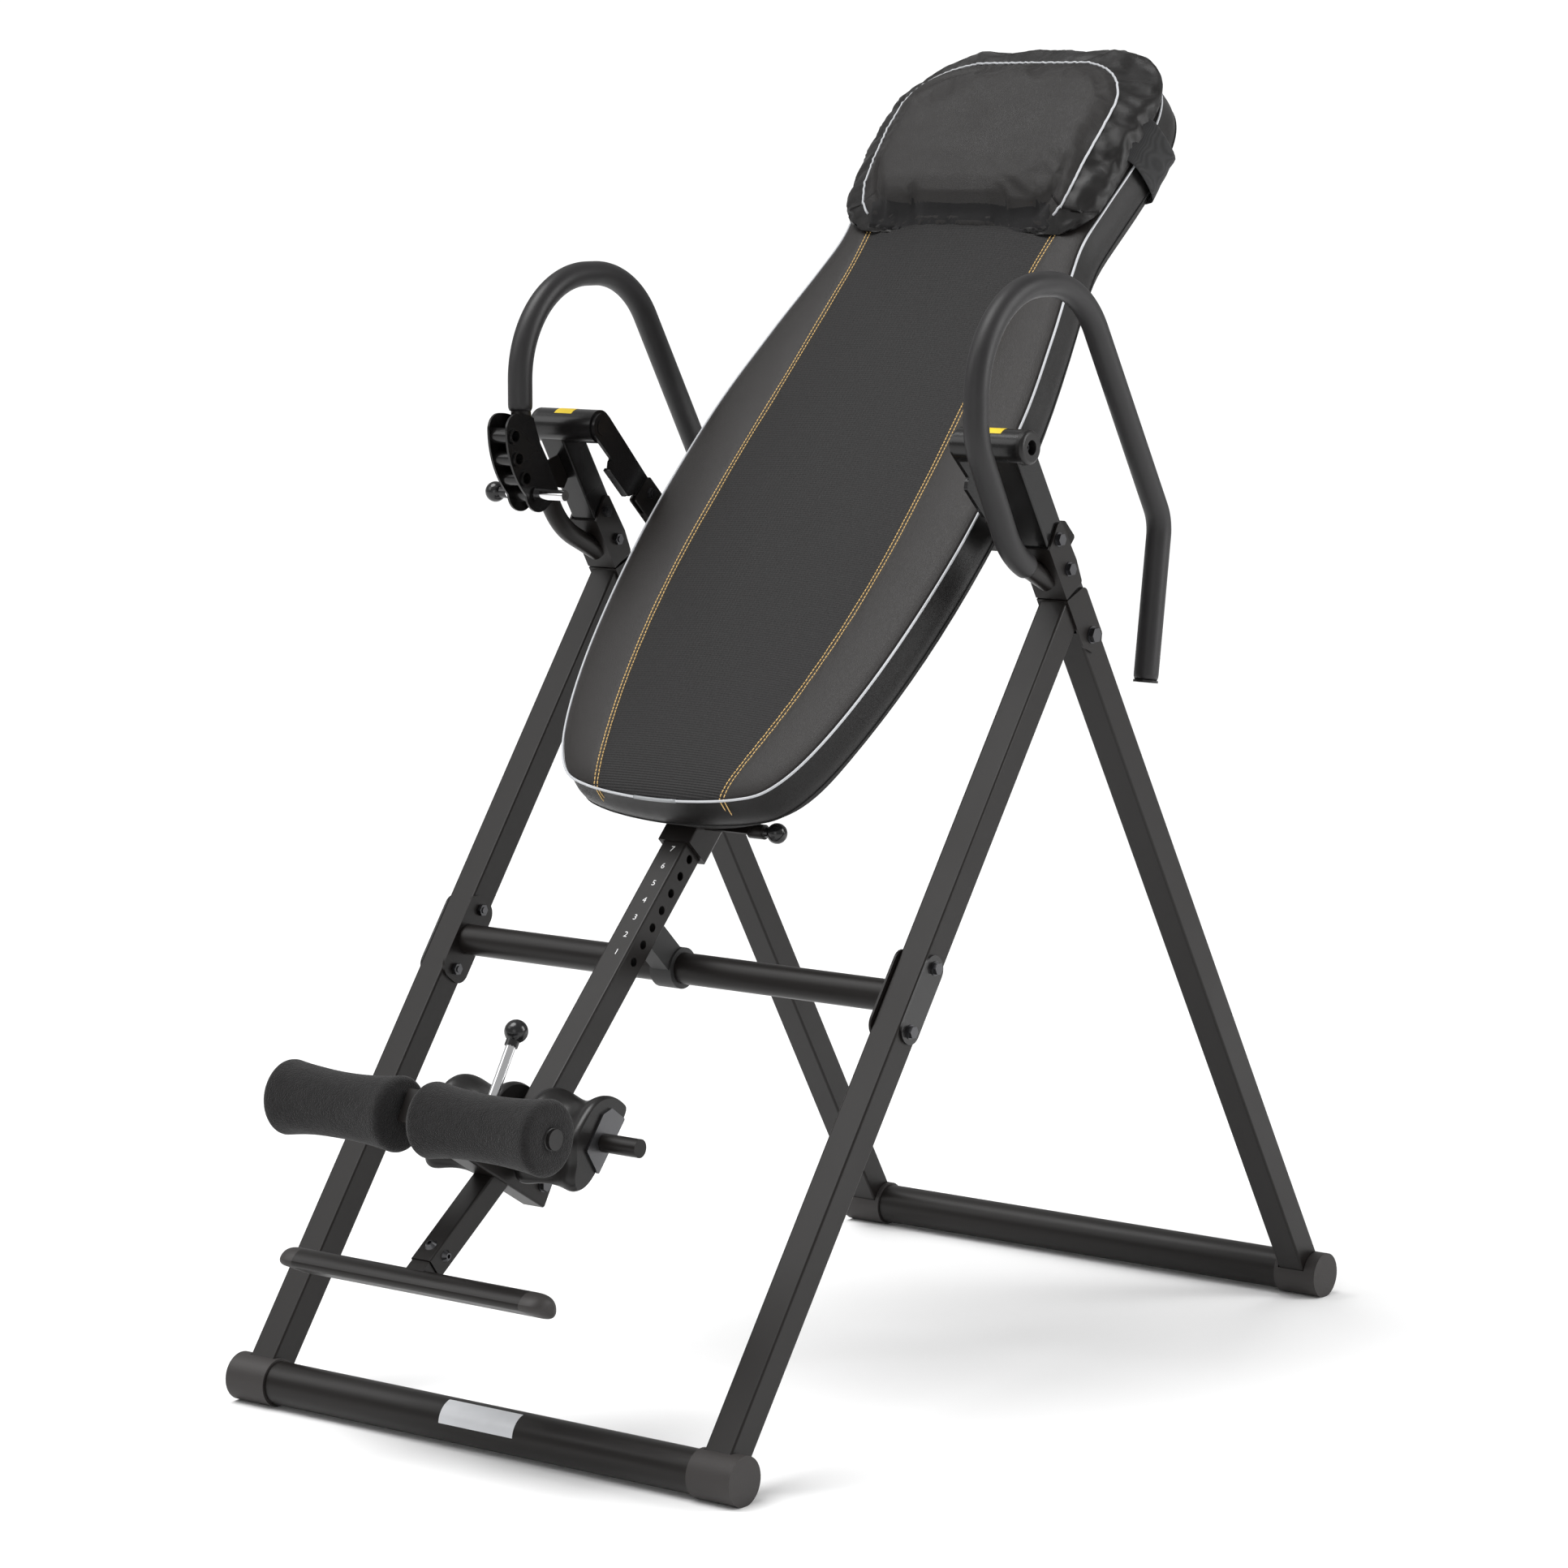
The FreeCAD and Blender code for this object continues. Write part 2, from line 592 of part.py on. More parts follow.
# ---------------------------------------------------------------- pivot bushes and housing caps
housing_in = dim("housing_inner_x")
housing_out = dim("housing_outer_x")
bush_length = dim("bush_length")
bushes = []
end_caps = []
for side, sign in SIDES:
    for near in (housing_in, housing_out - bush_length):
        low, high = span(sign, near, near + bush_length)
        ring = rod_x("bush_ring", "dims.housing_bore", low, high, 0, pivot_z)
        eye = rod_x("bush_eye", "dims.shaft_diameter + 2 * dims.running_fit", low - 1, high + 1, 0, pivot_z)
        bushes.append(cut("pivot_bush", ring, eye))
    low, high = span(sign, housing_out, housing_out + 9)
    disc = rod_x("cap_disc", "dims.housing_diameter", low, high, 0, pivot_z)
    dome = temp("Fillet", "cap_dome")
    dome.Base = disc
    doc.recompute()
    rims = [i + 1 for i, e in enumerate(disc.Shape.Edges)
            if len(e.Vertexes) == 1 and abs(e.CenterOfMass.x - sign * (housing_out + 9)) < 0.1]
    dome.Edges = [(i, 5.0, 5.0) for i in rims]
    eye = rod_x("cap_eye", "18", low - 1, high + 1, 0, pivot_z)
    end_caps.append(cut("housing_cap", dome, eye))
finish("pivot_bushes", group("pivot_bush_set", *bushes))
finish("housing_caps", group("housing_cap_pair", *end_caps))

# ---------------------------------------------------------------- tilt limiter on the left side
TILT_RADIUS = 102.0
TILT_RIM = 115.0
TILT_HOLE_ANGLES = (5.0, 21.4, 37.6, 54.3)
TILT_PIN_Y = -TILT_RADIUS * math.cos(math.radians(TILT_HOLE_ANGLES[-1]))
TILT_PIN_Z = pivot_z - TILT_RADIUS * math.sin(math.radians(TILT_HOLE_ANGLES[-1]))


def polar(radius, degrees):
    return V(-radius * math.cos(math.radians(degrees)), -radius * math.sin(math.radians(degrees)), 0)


def tilt_plate(name, x_low):
    """A curved plate in front of the pivot with a row of stop holes around it; its back follows the handle."""
    rim_top = polar(TILT_RIM, 1)
    shoulder = V(-98, 18.5, 0)
    back_top = V(-63.6, 12, 0)
    rim_low = polar(TILT_RIM, 47)
    toe = V(-38.6, -100.7, 0)
    edges = [Part.Arc(rim_top, polar(TILT_RIM, 24), rim_low), Part.Arc(rim_low, V(-60, -105.3, 0), toe),
             Part.LineSegment(toe, V(-15, -84, 0)), Part.LineSegment(V(-15, -84, 0), V(-36.8, -42.4, 0)),
             Part.LineSegment(V(-36.8, -42.4, 0), V(-50.9, -20.6, 0)),
             Part.Arc(V(-50.9, -20.6, 0), V(-56, -8, 0), back_top), Part.Arc(back_top, V(-81, 17.5, 0), shoulder),
             Part.Arc(shoulder, V(-110.4, 11.5, 0), rim_top)]
    return side_plate(name, edges, "dims.plate_thickness", x_low)


def tilt_gusset():
    """A web between the handle tube and the upright that carries the tilt plates."""
    heading = (V(*HANDLE_LOW, 0) - V(*HANDLE_LEAN, 0)).normalize()
    tube_back = V(*HANDLE_LEAN, 0) - V(0, pivot_z, 0) + V(-heading.y, heading.x, 0) * (dim("handle_diameter") / 2)
    face_top = rear_line.across * -leg_half + rear_line.along * -33
    face_low = rear_line.across * -leg_half + rear_line.along * -68
    outline = [(face_top.y, face_top.z), (face_low.y, face_low.z), (11, -80.5)]
    for reach in (103, 68):
        corner = tube_back + heading * reach
        outline.append((corner.x, corner.y))
    return side_plate("gusset_web", rounded(outline, [0] * 5), "dims.plate_thickness", -leg_x - plate / 2)


INNER_PLATE_X = -333.9
OUTER_PLATE_X = -363.1
plates = [tilt_plate("tilt_plate_inner", INNER_PLATE_X), tilt_plate("tilt_plate_outer", OUTER_PLATE_X)]
eyes = []
for degrees in TILT_HOLE_ANGLES:
    centre = polar(TILT_RADIUS, degrees)
    plates.append(rod_x("tilt_sleeve", "20", OUTER_PLATE_X, INNER_PLATE_X + plate + 3, centre.x, centre.y))
    eyes.append(rod_x("tilt_eye", "dims.pin_diameter + 2 * dims.pin_fit", OUTER_PLATE_X - 1, INNER_PLATE_X + 20,
                      centre.x, centre.y))
above_floor = FreeCAD.Placement(V(0, 0, pivot_z), FreeCAD.Rotation())
finish("tilt_plates", cut("tilt_plates_cut", fuse("tilt_plates_steel", *plates), *eyes), above_floor)
finish("tilt_gusset", tilt_gusset(), above_floor)
finish("tilt_pin", rod_x("tilt_pin_rod", "dims.pin_diameter", -385, -284, TILT_PIN_Y, TILT_PIN_Z))
knob_neck = rod_x("tilt_knob_neck", "15", -390, -377, TILT_PIN_Y, TILT_PIN_Z)
knob_ball = ball("tilt_knob_ball", 26, -398, TILT_PIN_Y, TILT_PIN_Z)
knob_bore = rod_x("tilt_knob_bore", "dims.pin_diameter", -385, -370, TILT_PIN_Y, TILT_PIN_Z)
finish("tilt_pin_knob", cut("tilt_knob_cut", fuse("tilt_knob_solid", knob_neck, knob_ball), knob_bore))

# ---------------------------------------------------------------- bed frame (bed frame: X, depth, along)
ARM_FACE = housing_in - 0.5
arm_thickness = dim("arm_thickness")
ARM_BOLT_DEPTHS = (125, 153)
ARM_BOLT_ALONG = -2.0
ARM_OUTLINE = [(-18, 18), (-18, -18), (40, -18), (40.5, -23), (46, -31), (98, -31), (104, -20), (170, -20), (170, 9.5),
               (109, 11.5)]
ARM_RADII = [17.5, 17.5, 1.5, 2, 4, 5, 6, 5, 5, 0]
FLANGE_OUT = 6.5


def pivot_arm(side, sign):
    """A plate that hangs the bed from its shaft; the left one has a turned-out stop flange."""
    name = "pivot_arm_" + side
    low, high = span(sign, ARM_FACE - arm_thickness, ARM_FACE)
    holes = [hole(depth, ARM_BOLT_ALONG, dim("bolt_diameter") + 2 * dim("bolt_clearance"))
             for depth in ARM_BOLT_DEPTHS]
    blade = side_plate(name + "_blade", rounded(ARM_OUTLINE, ARM_RADII) + holes, "dims.arm_thickness", low)
    shaft_low, shaft_high = span(sign, ARM_FACE, housing_out - 2)
    weld_low, weld_high = span(sign, ARM_FACE - arm_thickness - 1, ARM_FACE - arm_thickness)
    pieces = [blade, rod_x(name + "_shaft", "dims.shaft_diameter", shaft_low, shaft_high),
              rod_x(name + "_weld", "23", weld_low, weld_high)]
    if side == "left":
        flange = block(name + "_flange", str(FLANGE_OUT), "50", "4", "-31", "73")
        moved(flange, FreeCAD.Placement(V(-ARM_FACE - FLANGE_OUT / 2, 0, 0), FreeCAD.Rotation()))
        pieces.append(flange)
    thread_low, thread_high = span(sign, housing_out - 24, housing_out)
    thread = rod_x(name + "_thread", "dims.bolt_diameter", thread_low, thread_high)
    finish(name, cut(name + "_cut", fuse(name + "_steel", *pieces), thread), bed_line.placement())


CROSS_SIDE = 30.0
CROSS_FOOT = 43.0
spine_back = dim("tube_depth") + dim("spine_side") / 2
cross_depth = spine_back + 0.2 + CROSS_SIDE / 2
inner_cheek = ARM_FACE - arm_thickness - 0.3 - plate


def cross_member():
    """A tube behind the spine with a U bracket at each end that takes a pivot arm."""
    reach = inner_cheek + 1
    tube = block("cross_tube_outer", str(2 * reach), str(CROSS_SIDE), str(CROSS_SIDE), str(CROSS_FOOT),
                 str(cross_depth))
    bore = block("cross_tube_bore", str(2 * reach - 6), str(CROSS_SIDE - 4), str(CROSS_SIDE - 4),
                 str(CROSS_FOOT + 2), str(cross_depth))
    pieces = [cut("cross_tube", tube, bore)]
    back = cross_depth + CROSS_SIDE / 2
    outline = [(109, -27), (165, -27), (back, CROSS_FOOT), (back, CROSS_FOOT + CROSS_SIDE),
               (cross_depth - CROSS_SIDE / 2, CROSS_FOOT + CROSS_SIDE), (150, 12.5), (109, 12.5)]
    for side, sign in SIDES:
        for tag, near in (("in", inner_cheek), ("out", ARM_FACE + 0.3)):
            low, high = span(sign, near, near + plate)
            holes = [hole(depth, ARM_BOLT_ALONG, dim("bolt_diameter") + 2 * dim("bolt_clearance"))
                     for depth in ARM_BOLT_DEPTHS]
            pieces.append(side_plate("cross_cheek_%s_%s" % (side, tag), rounded(outline, [3, 8, 4, 4, 6, 6, 3]) + holes,
                                     "dims.plate_thickness", low))
        low, high = span(sign, inner_cheek, ARM_FACE + 0.3 + plate)
        web = block("cross_web_" + side, str(high - low), "26", "3", "-26.5", "149")
        moved(web, FreeCAD.Placement(V((low + high) / 2, 0, 0), FreeCAD.Rotation()))
        pieces.append(web)
    finish("cross_member", fuse("cross_member_steel", *pieces), bed_line.placement())


for side, sign in SIDES:
    pivot_arm(side, sign)
cross_member()
screws = [moved(button_screw("pivot_screw", dim("bolt_diameter"), V(sign * (housing_out - 2), 0, 0),
                             V(-sign, 0, 0), 20), bed_line.placement()) for side, sign in SIDES]
finish("pivot_screws", group("pivot_screw_pair", *screws))
bolts = []
for side, sign in SIDES:
    for depth in ARM_BOLT_DEPTHS:
        bolts.append(moved(hex_bolt("arm_bolt", dim("bolt_diameter"), sign * (ARM_FACE + 0.3 + plate),
                                    sign * inner_cheek, depth, ARM_BOLT_ALONG), bed_line.placement()))
finish("arm_bolts", group("arm_bolt_set", *bolts))

PIN_ALONG = -440.0
SLEEVE = (84.0, 105.0)
spine_outer = block("spine_outer", "dims.spine_side", "dims.spine_side", "dims.spine_head - dims.spine_foot",
                    "dims.spine_foot", "dims.tube_depth")
collar = block("spine_collar", "dims.spine_side + 6", "dims.spine_side + 6", "62", "dims.spine_foot",
               "dims.tube_depth")
spine_bore = block("spine_bore", "dims.spine_bore", "dims.spine_bore", "dims.spine_head - dims.spine_foot + 2",
                   "dims.spine_foot - 1", "dims.tube_depth")
ear = block("spine_ear", "70", "3", "22", str(PIN_ALONG - 11), "dims.tube_depth - 8.5")
moved(ear, FreeCAD.Placement(V(54, 0, 0), FreeCAD.Rotation()))
sleeve = rod_x("spine_sleeve", "18", SLEEVE[0], SLEEVE[1], dim("tube_depth"), PIN_ALONG)
pin_way = rod_x("spine_pin_way", "10.4", 15, 110, dim("tube_depth"), PIN_ALONG)
board_gap = block("spine_board_gap", "200", "20", "80", "dims.spine_foot - 1",
                  "dims.tube_depth - dims.spine_side / 2 - 10")
spine_outer = soft_corners(spine_outer, TUBE_CORNER)
collar = soft_corners(collar, TUBE_CORNER + 2)
spine = cut("spine_cut", fuse("spine_steel", spine_outer, collar, ear, sleeve), spine_bore, pin_way, board_gap)
finish("spine_tube", spine, bed_line.placement())

# ---------------------------------------------------------------- height pin
tube_depth = dim("tube_depth")
height_side = dim("height_tube_side")
pin = rod_x("height_pin_rod", "10", height_side / 2 + 1, 118, tube_depth, PIN_ALONG)
finish("height_pin", pin, bed_line.placement())
neck = rod_x("height_knob_neck", "13", 108, 116, tube_depth, PIN_ALONG)
knob = ball("height_knob_ball", 25, 123, tube_depth, PIN_ALONG)
knob_hole = rod_x("height_knob_hole", "10", 100, 118, tube_depth, PIN_ALONG)
finish("height_pin_knob", cut("height_knob_cut", fuse("height_knob_solid", neck, knob), knob_hole),
       bed_line.placement())

# ---------------------------------------------------------------- bed: board, pad, pillow, strap
BED_WIDTHS = ((-456, 112), (-428, 163), (-350, 200), (-220, 228), (-50, 243), (131, 238), (265, 218),
              (370, 197), (430, 188), (490, 193), (580, 203), (655, 198), (705, 170), (738, 115))


def bed_outline(inset):
    """The hourglass outline of the bed as one closed curve of (x, along)."""
    foot = dim("bed_foot") + inset
    head = dim("bed_head") - inset
    scale = (head - foot) / (dim("bed_head") - dim("bed_foot"))
    right_side = [(half - inset, foot + (along - dim("bed_foot")) * scale) for along, half in BED_WIDTHS]
    left_side = [(-x, along) for x, along in reversed(right_side)]
    points = [V(0, foot, 0)] + [V(x, along, 0) for x, along in right_side]
    points += [V(0, head, 0)] + [V(x, along, 0) for x, along in left_side]
    curve = Part.BSplineCurve()
    curve.interpolate(points, PeriodicFlag=True)
    return [curve]


FACE_DOWN = FreeCAD.Rotation(X_AXIS, 90)


def bed_layer(label, edges, thickness, back_depth):
    """A flat layer of the bed: outline (x, along), padded from its back towards the user."""
    body = padded_plate(label + "_layer", edges, thickness)
    place = bed_line.placement().multiply(FreeCAD.Placement(V(0, back_depth, 0), FACE_DOWN))
    finish(label, body, place)


pad_back = dim("pad_back_depth")
pad_face = dim("pad_face_depth") - dim("pad_crown") / 2
board_back = pad_back + 0.5 + dim("board_thickness")
bed_layer("backboard", bed_outline(9), "dims.board_thickness", board_back)
bed_layer("backrest_pad", bed_outline(0), "dims.pad_back_depth - dims.pad_face_depth + dims.pad_crown / 2",
          pad_back)
PILLOW = [(-172, 432), (172, 432), (198, 560), (190, 745), (-190, 745), (-198, 560)]
bed_layer("head_pillow", rounded(PILLOW, [40, 40, 200, 95, 95, 200]), "52", pad_face - 0.5)

STRAP_FOOT = 560.0
STRAP_HEAD = 618.0
STRAP_INSIDE = 204.0
strap_depth = board_back + 0.5 - 127
strap_outer = block("strap_outer", str(2 * STRAP_INSIDE + 4), str(strap_depth + 2), str(STRAP_HEAD - STRAP_FOOT),
                    str(STRAP_FOOT), str(127 + (strap_depth + 2) / 2))
strap_inner = block("strap_inner", str(2 * STRAP_INSIDE), str(strap_depth + 10), "80", str(STRAP_FOOT - 10),
                    str(117 + (strap_depth + 10) / 2))
finish("pillow_strap", cut("strap_band", strap_outer, strap_inner), bed_line.placement())

tabs = []
screws = []
spine_half = dim("spine_side") / 2
TAB_STATIONS = (-250.0, 300.0)
for along in TAB_STATIONS:
    for side, sign in SIDES:
        low, high = span(sign, spine_half, spine_half + 42)
        tab = block("board_tab_flat", "42", "4", "54", str(along - 27), str(board_back + 2.2))
        tab = cut("board_tab", tab, rod_z("tab_hole", "6.6", -4, 4))
        tab.Tool.Placement = FreeCAD.Placement(V(4, board_back - 2, along), FreeCAD.Rotation(V(0, 0, 1), V(0, 1, 0)))
        tab.Tool.Height = 10
        tabs.append(moved(tab, FreeCAD.Placement(V((low + high) / 2, 0, 0), FreeCAD.Rotation())))
        screws.append(button_screw("board_screw", 6.0, V((low + high) / 2 + 4, board_back + 4.2, along),
                                   V(0, -1, 0), 4.1))
finish("board_tabs", group("board_tab_set", *tabs), bed_line.placement())
finish("board_screws", group("board_screw_set", *screws), bed_line.placement())

# ---------------------------------------------------------------- telescoping leg
box_width = dim("ankle_box_width")
box_height = dim("ankle_box_height")
BOX_BACK = -142.0
ROD_ALONG = -86.0
ROD_ABOVE = 50.0
AXLE_ALONG = 101.2
AXLE_ABOVE = -8.3
LEVER_ALONG = -10.5
STOP_ALONG = -127.0

tube = block("height_outer", "dims.height_tube_side", "dims.height_tube_side", "1000",
             "dims.height_tube_head - 1000", "dims.tube_depth")
tube = soft_corners(tube, TUBE_CORNER)
tube_bore = block("height_bore", "dims.height_tube_side - 2 * dims.height_tube_wall",
                  "dims.height_tube_side - 2 * dims.height_tube_wall", "1010",
                  "dims.height_tube_head - 1005", "dims.tube_depth")
under = block("height_under", "80", "400", "500", "-250", str(box_height / 2 - 200))
moved(under, bed_line.placement().inverse().multiply(ankle_line.placement()))
HOLE_TOP = PIN_ALONG + 9 * dim("hole_pitch")
holes = []
for k in range(int(dim("hole_count")) + 2):
    holes.append(rod_x("height_hole", "dims.hole_diameter", -30, 30, tube_depth, HOLE_TOP - k * dim("hole_pitch")))
rod_way = rod_x("height_rod_way", "dims.heel_rod_diameter", -30, 30, ROD_ABOVE, ROD_ALONG)
holes.append(moved(rod_way, bed_line.placement().inverse().multiply(ankle_line.placement())))
finish("height_tube", cut("height_cut", tube, tube_bore, under, *holes), bed_line.placement())

outer = block("ankle_box_outer", "dims.ankle_box_width", "dims.ankle_box_height", "dims.ankle_box_length",
              str(BOX_BACK))
outer = soft_corners(outer, TUBE_CORNER)
inner = block("ankle_box_inner", "dims.ankle_box_width - 2 * dims.ankle_box_wall",
              "dims.ankle_box_height - 2 * dims.ankle_box_wall", "dims.ankle_box_length + 2", str(BOX_BACK - 1))
Y_TURN = FreeCAD.Rotation(V(0, 0, 1), V(0, 1, 0))


def cross_rod(name, diameter, low, high, along):
    """A round bar along local Y, at a station along local Z."""
    rod = rod_z(name, str(diameter), 0, high - low)
    rod.Placement = FreeCAD.Placement(V(0, low, along), Y_TURN)
    return rod


def lever_rod(name, diameter, low, high):
    """A round bar square to the slide, above its axis."""
    return cross_rod(name, diameter, low, high, LEVER_ALONG)


lever_hole = lever_rod("ankle_box_lever_hole", 12.6, 10, 40)
stop_hole = rod_x("ankle_box_stop_hole", CLEAR_BOLT, -40, 40, 0, STOP_ALONG)
finish("ankle_box", cut("ankle_box_cut", outer, inner, lever_hole, stop_hole), ankle_line.placement())
finish("ankle_stop_bolt", hex_bolt("stop_bolt", dim("bolt_diameter"), box_width / 2, -box_width / 2, 0, STOP_ALONG),
       ankle_line.placement())

LOWER_END = 146.0
FOOTREST_ALONG = 166.0
lower = square_tube("lower_square", "dims.lower_tube_side", "1.8", str(LOWER_END + 60), "-60")
above = block("lower_above", "80", "400", "500", "-250", str(200 - box_height / 2))
moved(above, lower_line.placement().inverse().multiply(ankle_line.placement()))
SCREW_ALONG = 124.0
lower_half = dim("lower_tube_side") / 2
screw_ways = [rod_x("lower_screw_way_side", "dims.bolt_diameter + 0.2", 0, 20, 0, SCREW_ALONG),
              cross_rod("lower_screw_way_front", "dims.bolt_diameter + 0.2", 0, 20, SCREW_ALONG)]
finish("lower_tube", cut("lower_cut", lower, above, *screw_ways), lower_line.placement())


def half_round(width, thickness):
    """A flat underside, round corners and a domed top; X runs from the top to the underside, Y is the width."""
    half = width / 2
    under = thickness / 2
    corner = thickness / 4
    turn = corner * (1 - math.sqrt(0.5))
    a, b = V(under, corner - half, 0), V(under, half - corner, 0)
    c, d = V(under - corner, half, 0), V(under - corner, -half, 0)
    return [Part.LineSegment(a, b), Part.Arc(b, V(under - turn, half - turn, 0), c),
            Part.Arc(c, V(-under, 0, 0), d), Part.Arc(d, V(under - turn, turn - half, 0), a)]


def bar_along_x(name, edges, length, x_low, turn):
    body = padded_plate(name, edges, length)
    body.Placement = FreeCAD.Placement(V(x_low, 0, FOOTREST_ALONG), turn)
    return body


# outline X (thickness) -> local Z, outline Y (width) -> local Y, pad -> local -X, so it starts at the far side;
# the underside then leans from the leg's axis towards the floor
FOOT_LEAN = 30.0
FOOT_TURN = FreeCAD.Rotation(V(1, 0, 0), FOOT_LEAN).multiply(FreeCAD.Rotation(V(0, 1, 0), -90))
foot_width = dim("footrest_width")
foot_thick = dim("footrest_thickness")
foot_half = dim("footrest_half_length")
bar_outer = bar_along_x("footrest_outer", half_round(foot_width, foot_thick), str(2 * foot_half), foot_half, FOOT_TURN)
bar_inner = bar_along_x("footrest_inner", half_round(foot_width - 4, foot_thick - 4), str(2 * foot_half + 10),
                        foot_half + 5, FOOT_TURN)
stub = block("footrest_stub", "26", "26", "58", str(FOOTREST_ALONG - 60))
stub_bore = block("footrest_stub_bore", "22", "22", "70", str(FOOTREST_ALONG - 66))
footrest = fuse("footrest_steel", cut("footrest_tube", bar_outer, bar_inner), cut("footrest_stub_tube", stub, stub_bore))
screw_threads = [rod_x("footrest_thread_side", "dims.bolt_diameter", 0, 20, 0, SCREW_ALONG),
                 cross_rod("footrest_thread_front", "dims.bolt_diameter", 0, 20, SCREW_ALONG)]
finish("footrest_bar", cut("footrest_cut", footrest, *screw_threads), lower_line.placement())
# distance past the tube's end and the share of the full section there
CAP_STATIONS = ((0.1, 1.0), (8, 1.0), (16, 0.95), (22, 0.82), (26.5, 0.58), (29, 0.25))
PLUG_LENGTH = 14


def cap_section(sign, reach, share):
    """The bar's outline at a station beyond its end, drawn in about its middle."""
    wire = Part.Wire([edge.toShape() for edge in half_round(foot_width * share, foot_thick * share)])
    wire.Placement = FreeCAD.Placement(V(sign * (foot_half + reach), 0, FOOTREST_ALONG), FOOT_TURN)
    return wire


foot_caps = []
for side, sign in SIDES:
    dome = feature("footrest_dome_" + side,
                   Part.makeLoft([cap_section(sign, reach, share) for reach, share in CAP_STATIONS], True, False))
    start = foot_half + 1 if sign > 0 else PLUG_LENGTH - foot_half
    plug = bar_along_x("footrest_plug_" + side, half_round(foot_width - 4.3, foot_thick - 4.3), str(PLUG_LENGTH + 1),
                       start, FOOT_TURN)
    foot_caps.append(fuse("footrest_cap_" + side, dome, plug))
finish("footrest_caps", group("footrest_cap_pair", *foot_caps), lower_line.placement())
screws = [button_screw("footrest_screw_front", dim("bolt_diameter"), V(0, lower_half, SCREW_ALONG), V(0, -1, 0), 3.9),
          button_screw("footrest_screw_side", dim("bolt_diameter"), V(lower_half, 0, SCREW_ALONG), V(-1, 0, 0), 3.9)]
finish("footrest_screws", group("footrest_screw_pair", *screws), lower_line.placement())

# ---------------------------------------------------------------- heel cups on their rod
HEEL_ROD_REACH = 170.0
finish("heel_rod", rod_x("heel_rod_bar", "dims.heel_rod_diameter", -HEEL_ROD_REACH, HEEL_ROD_REACH, ROD_ABOVE,
                         ROD_ALONG), ankle_line.placement())
CUP_NEAR = 24.0
CUP_FAR = 114.0
CUP_RIM = 5.0
# outlines as (above, along) in the slide's frame, from the top of the back around the side that faces the rollers
CUP_FLARE = ((105, -104), (105, -84), (98, -66), (84, -52), (62, -44), (42, -41), (26, -45), (10, -55), (-8, -62),
             (-16, -72), (-8, -84), (14, -94), (50, -103), (86, -109))
CUP_WAIST = ((98, -103), (97, -88), (91, -76), (79, -66), (60, -60), (42, -58), (27, -60), (12, -66), (-4, -70),
             (-11, -76), (-5, -85), (14, -94), (50, -103), (84, -108))


def cup_section(outline, x, shrink=0.0):
    """A closed curve across the cup at a station x, drawn in by shrink towards its middle."""
    middle = V(x, sum(a for a, _ in outline) / len(outline), sum(s for _, s in outline) / len(outline))
    points = []
    for above, along in outline:
        arm = V(x, above, along) - middle
        points.append(middle + arm * ((arm.Length - shrink) / arm.Length))
    curve = Part.BSplineCurve()
    curve.interpolate(points, PeriodicFlag=True)
    return Part.Wire([curve.toShape()])


def heel_cup(side, sign):
    """A moulded heel rest with flared ends and a waist, carried by the heel rod."""
    middle = (CUP_NEAR + CUP_FAR) / 2
    stations = [(CUP_NEAR, CUP_FLARE, 2.5), (CUP_NEAR + CUP_RIM, CUP_FLARE, 0.0), (middle, CUP_WAIST, 0.0),
                (CUP_FAR - CUP_RIM, CUP_FLARE, 0.0), (CUP_FAR, CUP_FLARE, 2.5)]
    if sign < 0:
        stations = [(-x, outline, shrink) for x, outline, shrink in reversed(stations)]
    name = "heel_cup_" + side
    body = feature(name + "_body", Part.makeLoft([cup_section(outline, x, shrink) for x, outline, shrink in stations],
                                                 True, False))
    eye = rod_x(name + "_eye", "dims.heel_rod_diameter", -HEEL_ROD_REACH, HEEL_ROD_REACH, ROD_ABOVE, ROD_ALONG)
    finish(name, cut(name + "_cut", body, eye), ankle_line.placement())


for side, sign in SIDES:
    heel_cup(side, sign)
end_plates = []
for side, sign in SIDES:
    low, high = span(sign, CUP_FAR + 0.1, CUP_FAR + 0.1 + plate)
    outline = rounded([(14, -95), (30, -62), (78, -68), (90, -79), (88, -107)], [2, 2, 2, 2, 2])
    eye = hole(ROD_ABOVE, ROD_ALONG, dim("heel_rod_diameter"))
    end_plates.append(side_plate("heel_plate_" + side, outline + [eye], "dims.plate_thickness", low))
finish("heel_end_plates", group("heel_plate_pair", *end_plates), ankle_line.placement())

# ---------------------------------------------------------------- ankle slide, rollers and lever
BAR_BACK = -60.0
BAR_FRONT = 114.0
slide_outer = block("slide_outer", "dims.ankle_bar_width", "dims.ankle_bar_height", str(BAR_FRONT - BAR_BACK),
                    str(BAR_BACK))
slide_outer = soft_corners(slide_outer, TUBE_CORNER)
slide_inner = block("slide_inner", "dims.ankle_bar_width - 4", "dims.ankle_bar_height - 4",
                    str(BAR_FRONT - BAR_BACK + 2), str(BAR_BACK - 4))
axle_way = rod_x("slide_axle_way", "dims.axle_diameter", -30, 30, AXLE_ABOVE, AXLE_ALONG)
finish("ankle_bar", cut("slide_cut", slide_outer, slide_inner, axle_way), ankle_line.placement())
ROLLER_NEAR = 18.0
ROLLER_FAR = ROLLER_NEAR + dim("roller_length")
finish("roller_axle", rod_x("axle_rod", "dims.axle_diameter", -ROLLER_FAR - 2, ROLLER_FAR + 2, AXLE_ABOVE, AXLE_ALONG),
       ankle_line.placement())
axle_place = ankle_line.placement(0, AXLE_ALONG, AXLE_ABOVE)
axle_caps = []
